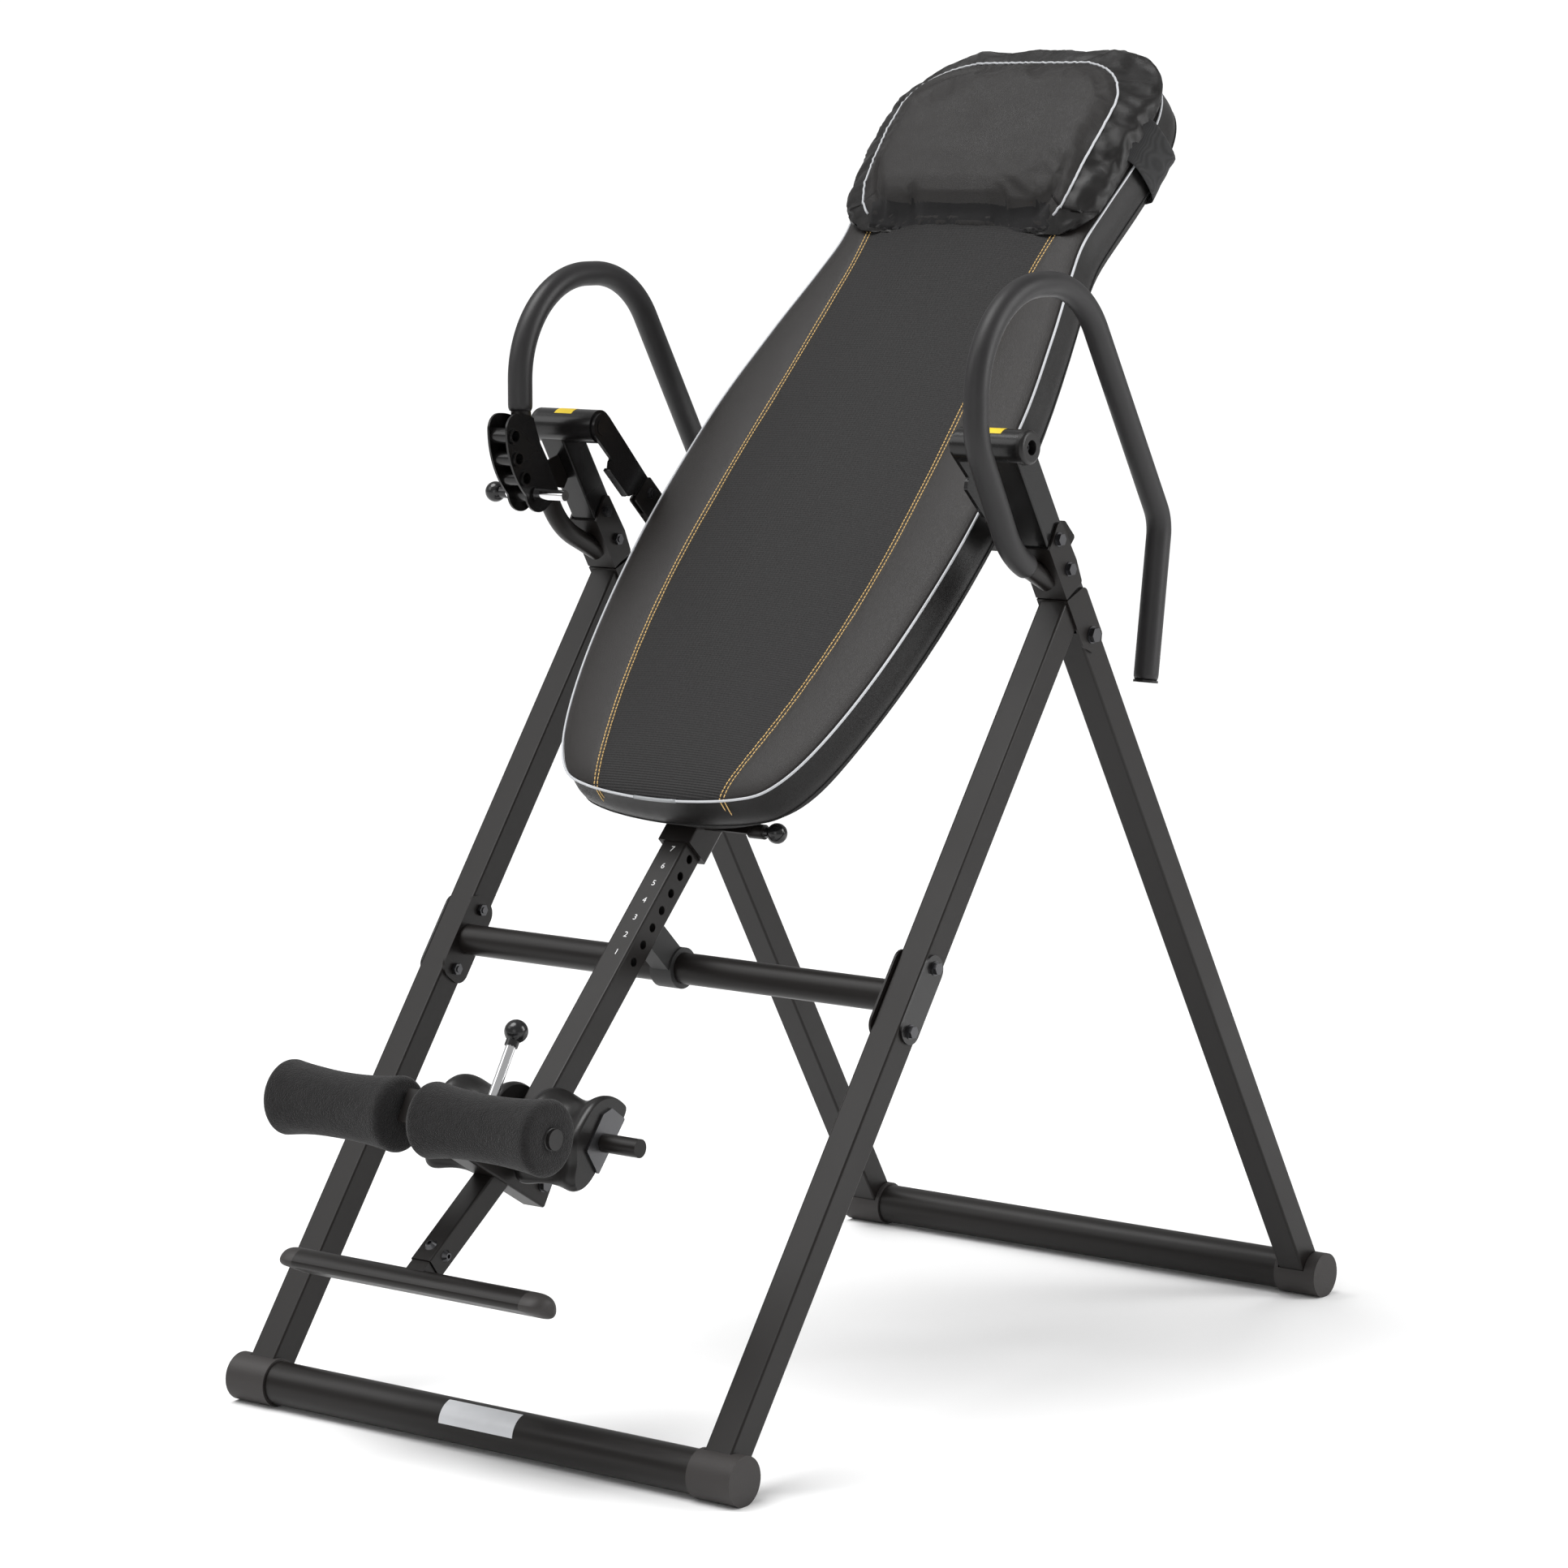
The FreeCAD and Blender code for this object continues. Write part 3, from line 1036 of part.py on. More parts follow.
for side, sign in SIDES:
    low, high = span(sign, ROLLER_FAR + 0.4, ROLLER_FAR + 6)
    disc = rod_x("axle_cap_disc", "24", low, high)
    socket_low, socket_high = span(sign, ROLLER_FAR - 1, ROLLER_FAR + 2)
    socket = rod_x("axle_cap_socket", "dims.axle_diameter", socket_low, socket_high)
    axle_caps.append(cut("axle_cap", disc, socket))
finish("axle_caps", group("axle_cap_pair", *axle_caps), axle_place)


def roller(side, sign):
    """A foam roller with full ends and a waist, turned about the axle."""
    full = dim("roller_diameter") / 2
    waist = dim("roller_waist") / 2
    bore = dim("axle_diameter") / 2 + 0.1
    near, far = ROLLER_NEAR, ROLLER_FAR
    middle = (near + far) / 2
    outline = [(near, bore), (near, full - 12), (near + 3.6, full - 3.6), (near + 13, full), (middle, waist),
               (far - 13, full), (far - 3.6, full - 3.6), (far, full - 12), (far, bore)]
    p = [V(sign * x, r, 0) for x, r in outline]
    edges = [Part.LineSegment(p[0], p[1]), Part.Arc(p[1], p[2], p[3]), Part.Arc(p[3], p[4], p[5]),
             Part.Arc(p[5], p[6], p[7]), Part.LineSegment(p[7], p[8]), Part.LineSegment(p[8], p[0])]
    finish("foam_roller_" + side, revolved("roller_" + side, edges), axle_place)


for side, sign in SIDES:
    roller(side, sign)

LEVER_TIP = 20.9
LEVER_TOP = 136.0
BALL_ABOVE = 143.0
finish("ankle_lever", lever_rod("lever_bar", 12, LEVER_TIP, LEVER_TOP), ankle_line.placement())
lever_ball = ball("lever_ball_round", 28, 0, BALL_ABOVE, LEVER_ALONG)
lever_neck = lever_rod("lever_neck", 16, 124, 134)
lever_socket = lever_rod("lever_socket", 12, 100, LEVER_TOP)
finish("ankle_lever_ball", cut("lever_ball_cut", fuse("lever_ball_solid", lever_ball, lever_neck), lever_socket),
       ankle_line.placement())

# ---------------------------------------------------------------- check and write
doc.recompute()
failed = [obj.Name for obj in doc.Objects if "Invalid" in obj.State or "Error" in obj.State]
for obj in subparts:
    if obj.Shape.isNull() or not obj.Shape.isValid() or not obj.Shape.Solids:
        failed.append(obj.Label)
if failed:
    raise RuntimeError("failed objects: " + ", ".join(failed))
os.makedirs("parts", exist_ok=True)
for obj in subparts:
    obj.Shape.exportStep("parts/" + obj.Label + ".step")
box = subparts[0].Shape.BoundBox
for obj in subparts:
    box.add(obj.Shape.BoundBox)
print(len(subparts), "sub-parts;", "box", [round(v, 1) for v in (box.XMin, box.XMax, box.YMin, box.YMax, box.ZMin, box.ZMax)])
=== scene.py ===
import json
import math

import bpy
import numpy as np
from mathutils import Matrix, Vector
from mathutils.bvhtree import BVHTree
from mathutils.geometry import delaunay_2d_cdt


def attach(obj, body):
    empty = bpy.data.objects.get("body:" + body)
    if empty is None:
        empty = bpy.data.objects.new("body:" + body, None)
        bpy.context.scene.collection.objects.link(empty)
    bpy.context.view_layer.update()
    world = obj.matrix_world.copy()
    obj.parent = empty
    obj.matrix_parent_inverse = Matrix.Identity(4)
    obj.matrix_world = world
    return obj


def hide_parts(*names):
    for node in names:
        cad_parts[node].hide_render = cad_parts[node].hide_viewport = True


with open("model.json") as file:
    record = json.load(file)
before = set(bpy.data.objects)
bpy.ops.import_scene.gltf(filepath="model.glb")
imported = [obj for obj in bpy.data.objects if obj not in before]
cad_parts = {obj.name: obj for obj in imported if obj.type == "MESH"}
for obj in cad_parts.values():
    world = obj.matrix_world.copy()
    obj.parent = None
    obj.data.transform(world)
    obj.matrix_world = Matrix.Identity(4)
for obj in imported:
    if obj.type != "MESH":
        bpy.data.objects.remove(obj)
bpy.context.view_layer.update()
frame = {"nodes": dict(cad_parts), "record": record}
nodes = frame["nodes"]

# ---------------------------------------------------------------- the part's own frames, in metres
PIVOT_HEIGHT = 1.144
PIVOT = Vector((0, 0, PIVOT_HEIGHT))
BED_ANGLE = math.radians(43.85)
UP_BED = Vector((0, math.sin(BED_ANGLE), math.cos(BED_ANGLE)))
BEHIND = Vector((0, math.cos(BED_ANGLE), -math.sin(BED_ANGLE)))
ANKLE = Vector((0, -0.573, 0.365))
ANKLE_ANGLE = math.radians(59)
OUT = Vector((0, -math.sin(ANKLE_ANGLE), math.cos(ANKLE_ANGLE)))
ABOVE = Vector((0, math.cos(ANKLE_ANGLE), math.sin(ANKLE_ANGLE)))
RIGHT = Vector((1, 0, 0))


def bed(x, along, depth):
    """A point given across the bed, along it from the pivot, and behind the pivot."""
    return PIVOT + RIGHT * x + UP_BED * along + BEHIND * depth


def ankle(x, out, above):
    """A point given across the ankle holder, out along it and above it."""
    return ANKLE + RIGHT * x + OUT * out + ABOVE * above


# ---------------------------------------------------------------- materials
def link(tree, a, b):
    tree.links.new(a, b)


def material(name, colour, rough, metal=0.0, specular=0.5, coat=0.0, coat_rough=0.1, sheen=0.0):
    mat = bpy.data.materials.new(name)
    mat.use_nodes = True
    tree = mat.node_tree
    shader = tree.nodes["Principled BSDF"]
    shader.inputs["Base Color"].default_value = (*colour, 1)
    shader.inputs["Roughness"].default_value = rough
    shader.inputs["Metallic"].default_value = metal
    shader.inputs["Specular IOR Level"].default_value = specular
    shader.inputs["Coat Weight"].default_value = coat
    shader.inputs["Coat Roughness"].default_value = coat_rough
    shader.inputs["Sheen Weight"].default_value = sheen
    return mat, tree, shader


def node(tree, kind, **values):
    made = tree.nodes.new("ShaderNode" + kind)
    for key, value in values.items():
        if key in made.inputs:
            made.inputs[key].default_value = value
        else:
            setattr(made, key, value)
    return made


def coordinates(tree, scale=(1, 1, 1)):
    place = node(tree, "TexCoord")
    mapping = node(tree, "Mapping", Scale=scale)
    link(tree, place.outputs["Object"], mapping.inputs["Vector"])
    return mapping.outputs["Vector"]


def noise(tree, vector, scale, detail=3.0, rough=0.55):
    made = node(tree, "TexNoise", Scale=scale, Detail=detail, Roughness=rough)
    link(tree, vector, made.inputs["Vector"])
    return made.outputs["Fac"]


def bump(tree, shader, height, strength, distance, after=None):
    made = node(tree, "Bump", Strength=strength, Distance=distance)
    link(tree, height, made.inputs["Height"])
    if after is not None:
        link(tree, after, made.inputs["Normal"])
    link(tree, made.outputs["Normal"], shader.inputs["Normal"])
    return made.outputs["Normal"]


def ramp(tree, value, low, high, a, b):
    """Map a value from low..high onto a..b."""
    made = node(tree, "MapRange")
    for socket, number in (("From Min", low), ("From Max", high), ("To Min", a), ("To Max", b)):
        made.inputs[socket].default_value = number
    link(tree, value, made.inputs["Value"])
    return made.outputs["Result"]


def tint(tree, value, colour_a, colour_b):
    made = node(tree, "Mix", data_type="RGBA")
    made.inputs[6].default_value = (*colour_a, 1)
    made.inputs[7].default_value = (*colour_b, 1)
    link(tree, value, made.inputs[0])
    return made.outputs[2]


def powder(name, colour, rough, specular, coat=0.0):
    """Powder coat: a fine orange peel with a slight mottle in its gloss."""
    mat, tree, shader = material(name, colour, rough, specular=specular, coat=coat, coat_rough=0.18)
    place = coordinates(tree)
    peel = noise(tree, place, 900, 2)
    mottle = noise(tree, place, 6, 2)
    link(tree, ramp(tree, mottle, 0.3, 0.7, rough - 0.04, rough + 0.05), shader.inputs["Roughness"])
    link(tree, tint(tree, mottle, [c * 0.85 for c in colour], [c * 1.15 for c in colour]),
         shader.inputs["Base Color"])
    bump(tree, shader, peel, 0.16, 0.0003)
    return mat


FRAME_BLACK = powder("frame_black", (0.0080, 0.0066, 0.0060), 0.38, 0.27)
GLOSS_BLACK = powder("gloss_black", (0.0045, 0.0042, 0.0042), 0.24, 0.3, coat=0.22)


def plastic(name, colour, rough, grain_scale, grain_depth, specular=0.45):
    mat, tree, shader = material(name, colour, rough, specular=specular)
    place = coordinates(tree)
    grain = noise(tree, place, grain_scale, 3)
    wear = noise(tree, place, 15, 3)
    link(tree, ramp(tree, wear, 0.3, 0.7, rough - 0.06, rough + 0.06), shader.inputs["Roughness"])
    link(tree, tint(tree, wear, [c * 0.85 for c in colour], [c * 1.2 for c in colour]),
         shader.inputs["Base Color"])
    bump(tree, shader, grain, 0.35, grain_depth)
    return mat


CAP_RUBBER = plastic("cap_rubber", (0.030, 0.027, 0.026), 0.55, 500, 0.0004, specular=0.35)
MOULDED = plastic("moulded_plastic", (0.0085, 0.0078, 0.0076), 0.36, 420, 0.0003, specular=0.35)
KNOB = plastic("knob_plastic", (0.009, 0.009, 0.0095), 0.2, 60, 0.00005)
BUMPER = plastic("bumper_rubber", (0.02, 0.02, 0.02), 0.55, 300, 0.0003)
STICKER = plastic("sticker_silver", (0.60, 0.61, 0.63), 0.32, 80, 0.00003)
YELLOW = plastic("patch_yellow", (0.83, 0.60, 0.02), 0.4, 80, 0.00003)
INK_WHITE = plastic("ink_white", (0.75, 0.75, 0.75), 0.5, 80, 0.00003)
PIPING = plastic("piping_silver", (0.50, 0.51, 0.53), 0.32, 260, 0.0002)
PIPE_JOIN = plastic("piping_sleeve", (0.30, 0.31, 0.32), 0.28, 260, 0.0001)


def metal(name, colour, rough, brushed=0.0):
    mat, tree, shader = material(name, colour, rough, metal=1.0)
    place = coordinates(tree, scale=(4, 60, 60))
    streak = noise(tree, place, 40, 4)
    link(tree, ramp(tree, streak, 0.3, 0.7, max(rough - 0.05, 0.02), rough + 0.06),
         shader.inputs["Roughness"])
    link(tree, tint(tree, streak, [c * 0.9 for c in colour], colour), shader.inputs["Base Color"])
    bump(tree, shader, streak, 0.05 + brushed, 0.0001)
    return mat


CHROME = metal("chrome_plate", (0.80, 0.80, 0.81), 0.07)
ZINC = metal("black_zinc", (0.10, 0.10, 0.105), 0.34, 0.1)
SATIN_STEEL = metal("satin_steel", (0.13, 0.13, 0.135), 0.38, 0.2)


def foam(name, colour, cell, depth):
    """Closed-cell foam: fine pits over a slightly lumpy skin."""
    mat, tree, shader = material(name, colour, 0.93, specular=0.18, sheen=0.12)
    place = coordinates(tree)
    cells = node(tree, "TexVoronoi", Scale=cell)
    link(tree, place, cells.inputs["Vector"])
    pits = ramp(tree, cells.outputs["Distance"], 0.0, 0.55, 0, 1)
    lumps = noise(tree, place, cell / 5, 4, 0.7)
    first = bump(tree, shader, pits, 0.7, depth)
    bump(tree, shader, lumps, 0.5, depth * 1.6, after=first)
    # painted shade and highlight: the foam's colour is darker in the pits and low lumps, where shade falls,
    # and lighter on the raised lumps
    shade = node(tree, "Math", operation="MULTIPLY")
    link(tree, pits, shade.inputs[0])
    link(tree, lumps, shade.inputs[1])
    link(tree, tint(tree, shade.outputs[0], [c * 0.45 for c in colour], [c * 1.9 for c in colour]),
         shader.inputs["Base Color"])
    return mat


ROLLER_FOAM = foam("roller_foam", (0.0125, 0.0119, 0.0121), 520, 0.0011)
GRIP_FOAM = plastic("grip_foam", (0.0130, 0.0122, 0.0128), 0.46, 900, 0.0002, specular=0.38)


def leather_grain(tree, place, shader, scale, strength):
    cells = node(tree, "TexVoronoi", Scale=scale, feature="DISTANCE_TO_EDGE")
    link(tree, place, cells.inputs["Vector"])
    pebbles = ramp(tree, cells.outputs["Distance"], 0.0, 0.25, 0, 1)
    folds = noise(tree, place, scale / 14, 4, 0.6)
    first = bump(tree, shader, pebbles, strength, 0.0004)
    return bump(tree, shader, folds, 0.12, 0.0012, after=first)


def vinyl(name, colour, rough, strength=0.4):
    mat, tree, shader = material(name, colour, rough, specular=0.3)
    place = coordinates(tree)
    mottle = noise(tree, place, 30, 4)
    leather_grain(tree, place, shader, 720, strength)
    link(tree, ramp(tree, mottle, 0.3, 0.7, rough - 0.05, rough + 0.06), shader.inputs["Roughness"])
    link(tree, tint(tree, mottle, [c * 0.85 for c in colour], [c * 1.15 for c in colour]),
         shader.inputs["Base Color"])
    return mat


SIDE_VINYL = vinyl("vinyl_side", (0.0135, 0.0119, 0.0113), 0.46)
WALL_VINYL = vinyl("vinyl_wall", (0.0085, 0.0078, 0.0076), 0.38, 0.25)


def panel_vinyl(name, rib_pitch, colour_low, colour_high):
    """The cover of the bed: grained vinyl outside the seams and fine ribbed fabric between them."""
    mat, tree, shader = material(name, (0.02, 0.02, 0.02), 0.5, specular=0.28)
    place = node(tree, "TexCoord").outputs["Object"]
    split = tree.nodes.new("ShaderNodeSeparateXYZ")
    turned = node(tree, "VectorRotate", rotation_type="X_AXIS", Angle=BED_ANGLE)
    link(tree, place, turned.inputs["Vector"])
    link(tree, turned.outputs["Vector"], split.inputs[0])
    mask = tree.nodes.new("ShaderNodeAttribute")
    mask.attribute_name = "panel"
    inside = ramp(tree, mask.outputs["Fac"], 0.0, 0.0015, 0, 1)
    # ribs across the bed, each broken into short stitches
    rib = node(tree, "Math", operation="MULTIPLY")
    link(tree, split.outputs[2], rib.inputs[0])
    rib.inputs[1].default_value = 2 * math.pi / rib_pitch
    rib_sine = node(tree, "Math", operation="SINE")
    link(tree, rib.outputs[0], rib_sine.inputs[0])
    cross = node(tree, "Math", operation="MULTIPLY")
    link(tree, split.outputs[0], cross.inputs[0])
    cross.inputs[1].default_value = 2 * math.pi / (rib_pitch * 1.6)
    cross_sine = node(tree, "Math", operation="SINE")
    link(tree, cross.outputs[0], cross_sine.inputs[0])
    weave = node(tree, "Math", operation="MULTIPLY_ADD")
    link(tree, cross_sine.outputs[0], weave.inputs[0])
    weave.inputs[1].default_value = 0.35
    link(tree, rib_sine.outputs[0], weave.inputs[2])
    height = node(tree, "Math", operation="MULTIPLY")
    link(tree, weave.outputs[0], height.inputs[0])
    link(tree, inside, height.inputs[1])
    grain = leather_grain(tree, place, shader, 720, 0.3)
    bump(tree, shader, height.outputs[0], 0.55, 0.00035, after=grain)
    mottle = noise(tree, place, 25, 4)
    vinyl_colour = tint(tree, mottle, [c * 0.85 for c in colour_low], [c * 1.15 for c in colour_low])
    mesh_colour = tint(tree, ramp(tree, weave.outputs[0], -1, 1, 0, 1), [c * 0.6 for c in colour_high],
                       [c * 1.3 for c in colour_high])
    both = node(tree, "Mix", data_type="RGBA")
    link(tree, inside, both.inputs[0])
    link(tree, vinyl_colour, both.inputs[6])
    link(tree, mesh_colour, both.inputs[7])
    link(tree, both.outputs[2], shader.inputs["Base Color"])
    rough = ramp(tree, inside, 0, 1, 0.46, 0.58)
    link(tree, rough, shader.inputs["Roughness"])
    return mat


BED_COVER = panel_vinyl("bed_cover", 0.0032, (0.0145, 0.0125, 0.0117), (0.0120, 0.0112, 0.0113))


def woven(name, colour, scale):
    mat, tree, shader = material(name, colour, 0.8, specular=0.25, sheen=0.1)
    place = coordinates(tree)
    wave = node(tree, "TexWave", Scale=scale, Distortion=0.4)
    link(tree, place, wave.inputs["Vector"])
    fuzz = noise(tree, place, 1400, 2)
    first = bump(tree, shader, wave.outputs["Fac"], 0.4, 0.0003)
    bump(tree, shader, fuzz, 0.3, 0.0002, after=first)
    link(tree, tint(tree, wave.outputs["Fac"], [c * 0.6 for c in colour], [c * 1.3 for c in colour]),
         shader.inputs["Base Color"])
    return mat


ELASTIC = woven("woven_elastic", (0.013, 0.013, 0.0135), 260)
RIBBED = woven("ribbed_cloth", (0.0105, 0.0100, 0.0108), 420)
THREAD_GOLD = woven("thread_gold", (0.78, 0.52, 0.20), 900)
THREAD_DARK = woven("thread_dark", (0.012, 0.012, 0.012), 900)
BOARD = plastic("board_painted", (0.014, 0.013, 0.0125), 0.62, 120, 0.0006)

LOOKS = {
    "black_steel": FRAME_BLACK, "gloss_black_steel": GLOSS_BLACK, "black_zinc": ZINC,
    "grey_steel": SATIN_STEEL, "chrome": CHROME, "cap_rubber": CAP_RUBBER,
    "black_plastic": MOULDED, "knob_plastic": KNOB,
    "foam": GRIP_FOAM, "vinyl": SIDE_VINYL, "board": BOARD, "elastic": ELASTIC,
}
SPECIAL = {"tilt_plates": GLOSS_BLACK, "crossbar_bumper": BUMPER, "handle_plugs": MOULDED}
for part in frame["record"]["subparts"]:
    look = SPECIAL.get(part["node"], LOOKS[part["material_slot"]])
    slots = nodes[part["node"]].data.materials
    if len(slots) == 0:
        slots.append(look)
    for i in range(len(slots)):
        slots[i] = look


# ---------------------------------------------------------------- building new pieces
def piece(name, verts, faces, mats, body):
    """A new smooth-shaded object with the given materials that rides on a body."""
    mesh = bpy.data.meshes.new(name)
    mesh.from_pydata([tuple(v) for v in verts], [], faces)
    mesh.validate()
    for mat in mats:
        mesh.materials.append(mat)
    obj = bpy.data.objects.new(name, mesh)
    bpy.context.scene.collection.objects.link(obj)
    for polygon in mesh.polygons:
        polygon.use_smooth = True
    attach(obj, body)
    return obj


def tube(points, radius, sides=12, closed=False, flat=1.0, normals=None):
    """Verts and faces of a round cord along points; flat squashes it along the given normals."""
    count = len(points)
    verts = []
    faces = []
    up = None
    for i in range(count):
        if closed:
            heading = points[(i + 1) % count] - points[i - 1]
        else:
            heading = points[min(i + 1, count - 1)] - points[max(i - 1, 0)]
        heading = heading.normalized()
        if normals is not None:
            up = normals[i]
        elif up is None:
            up = heading.orthogonal()
        up = (up - heading * up.dot(heading)).normalized()
        side = heading.cross(up)
        for k in range(sides):
            turn = 2 * math.pi * k / sides
            verts.append(points[i] + side * (radius * math.cos(turn)) + up * (radius * flat * math.sin(turn)))
    last = count if closed else count - 1
    for i in range(last):
        a = i * sides
        b = ((i + 1) % count) * sides
        for k in range(sides):
            n = (k + 1) % sides
            faces.append((a + k, a + n, b + n, b + k))
    if not closed:
        faces.append(tuple(range(sides - 1, -1, -1)))
        faces.append(tuple((count - 1) * sides + k for k in range(sides)))
    return verts, faces


def sheet_faces(rows, columns):
    """The quads between rows of points, row after row."""
    faces = []
    for j in range(rows - 1):
        for i in range(columns - 1):
            a = j * columns + i
            faces.append((a, a + 1, a + columns + 1, a + columns))
    return faces


def bridge(faces, a, b, count):
    """Quads between two closed rings that start at vertices a and b."""
    for k in range(count):
        n = (k + 1) % count
        faces.append((a + k, a + n, b + n, b + k))


def join(parts):
    """Several (verts, faces) as one."""
    verts = []
    faces = []
    for part_verts, part_faces in parts:
        base = len(verts)
        verts.extend(part_verts)
        faces.extend(tuple(base + i for i in face) for face in part_faces)
    return verts, faces


def lathe(profile, centre, sides=64, wobble=None):
    """Turn a list of (x, radius) about the X axis through centre."""
    verts = []
    faces = []
    for j, (x, radius) in enumerate(profile):
        for k in range(sides):
            turn = 2 * math.pi * k / sides
            r = radius * (1 + (wobble(x, turn) if wobble else 0))
            verts.append(centre + Vector((x, r * math.cos(turn), r * math.sin(turn))))
    for j in range(len(profile) - 1):
        for k in range(sides):
            n = (k + 1) % sides
            a, b = j * sides, (j + 1) * sides
            faces.append((a + k, a + n, b + n, b + k))
    faces.append(tuple(range(sides - 1, -1, -1)))
    faces.append(tuple((len(profile) - 1) * sides + k for k in range(sides)))
    return verts, faces


# ---------------------------------------------------------------- the bed's outline
MM = 0.001
FOOT = -0.467
HEAD = 0.752
# rows of (along, half width), in millimetres
WIDTHS = [(-456, 112), (-428, 163), (-350, 200), (-220, 228), (-50, 243), (131, 238), (265, 218), (370, 197),
          (430, 188), (490, 193), (580, 203), (655, 198), (705, 170), (738, 115)]


def closed_spline(points, count):
    """A smooth closed curve through points, sampled at even arc length."""
    n = len(points)
    samples = []
    fine = 24
    for i in range(n):
        p0, p1, p2, p3 = points[i - 1], points[i], points[(i + 1) % n], points[(i + 2) % n]
        for k in range(fine):
            t = k / fine
            samples.append(0.5 * ((2 * p1) + (p2 - p0) * t + (2 * p0 - 5 * p1 + 4 * p2 - p3) * t * t
                                  + (3 * p1 - p0 - 3 * p2 + p3) * t ** 3))
    samples = np.array(samples)
    steps = np.linalg.norm(np.roll(samples, -1, axis=0) - samples, axis=1)
    reach = np.concatenate([[0], np.cumsum(steps)])
    wanted = np.linspace(0, reach[-1], count, endpoint=False)
    looped = np.vstack([samples, samples[:1]])
    return np.stack([np.interp(wanted, reach, looped[:, 0]), np.interp(wanted, reach, looped[:, 1])], axis=1)


def bed_outline(count=480):
    right = [(half * MM, along * MM) for along, half in WIDTHS]
    points = [(0, FOOT)] + right + [(0, HEAD)] + [(-x, u) for x, u in reversed(right)]
    return closed_spline(np.array(points), count)


def distance_inside(points, outline):
    """Signed distance of 2-D points to a closed outline, positive inside."""
    a = outline
    b = np.roll(outline, -1, axis=0)
    best = np.full(len(points), 1e9)
    crossings = np.zeros(len(points), dtype=int)
    for (ax, ay), (bx, by) in zip(a, b):
        dx, dy = bx - ax, by - ay
        length = dx * dx + dy * dy
        t = np.clip(((points[:, 0] - ax) * dx + (points[:, 1] - ay) * dy) / length, 0, 1)
        gap = np.hypot(points[:, 0] - ax - t * dx, points[:, 1] - ay - t * dy)
        best = np.minimum(best, gap)
        straddle = (ay > points[:, 1]) != (by > points[:, 1])
        if ay != by:
            at = ax + (points[:, 1] - ay) / (by - ay) * dx
            crossings += (straddle & (points[:, 0] < at)).astype(int)
    return np.where(crossings % 2 == 1, best, -best)


# rows of (along, half the space between the two long seams), in millimetres
SEAM = np.array([(-467, 90), (-457, 95), (-400, 110), (-338, 126), (-265, 139), (-183, 149), (-88, 154),
                 (-13, 153), (82, 151), (170, 146), (303, 142), (400, 139), (450, 146), (760, 146)]) * MM


def seam_half(along):
    return np.interp(along, SEAM[:, 0], SEAM[:, 1])


def smooth_seam(along):
    """The seam's half spacing, rounded over neighbouring stations."""
    spread = np.linspace(-0.04, 0.04, 9)
    return sum(seam_half(along + s) for s in spread) / len(spread)


PIPE_DEPTH = 0.121
BACK_DEPTH = 0.1705
GROOVE_END = 0.47
GRID = 0.0055


def cover_depth(x, along, gap):
    """How far behind the pivot the cover's face lies, given the distance in from the piping."""
    edge = 0.0105 * (1 - np.exp(-np.maximum(gap, 0) / 0.016))
    middle = 0.0055 * np.clip(1 - (x / np.maximum(smooth_seam(along), 0.02)) ** 2, 0, 1)
    ends = np.clip((along - FOOT) / 0.10, 0, 1) * np.clip((HEAD - along) / 0.10, 0, 1)
    groove = 0.0017 * np.exp(-((np.abs(x) - smooth_seam(along)) / 0.004) ** 2) * (along < GROOVE_END)
    return PIPE_DEPTH - edge - middle * ends + groove


outline = bed_outline()


def ring_of(inset):
    """The outline moved inwards, as an array of the same length."""
    ahead = np.roll(outline, -1, axis=0) - np.roll(outline, 1, axis=0)
    ahead /= np.linalg.norm(ahead, axis=1)[:, None]
    inward = np.stack([-ahead[:, 1], ahead[:, 0]], axis=1)
    return outline + inward * inset


def fill_middle(verts, faces, ring, first, xs, us, depths_at):
    """Close a ring of points with a fine mesh; first is the ring's first vertex."""
    count = len(ring)
    gx, gu = np.meshgrid(xs, us)
    grid = np.stack([gx.ravel(), gu.ravel()], axis=1)
    inside = grid[distance_inside(grid, ring) > GRID * 0.6]
    flat = [Vector(p) for p in ring] + [Vector(p) for p in inside]
    edges = [(i, (i + 1) % count) for i in range(count)]
    out_verts, _, out_faces, orig, _, _ = delaunay_2d_cdt(flat, edges, [], 1, 1e-7)
    depths = depths_at(np.array([tuple(v) for v in out_verts]))
    mapping = {}
    for i, v in enumerate(out_verts):
        source = [k for k in orig[i] if k < count]
        if source:
            mapping[i] = first + source[0]
        else:
            mapping[i] = len(verts)
            verts.append(bed(v.x, v.y, float(depths[i])))
    for face in out_faces:
        faces.append(tuple(mapping[i] for i in face))


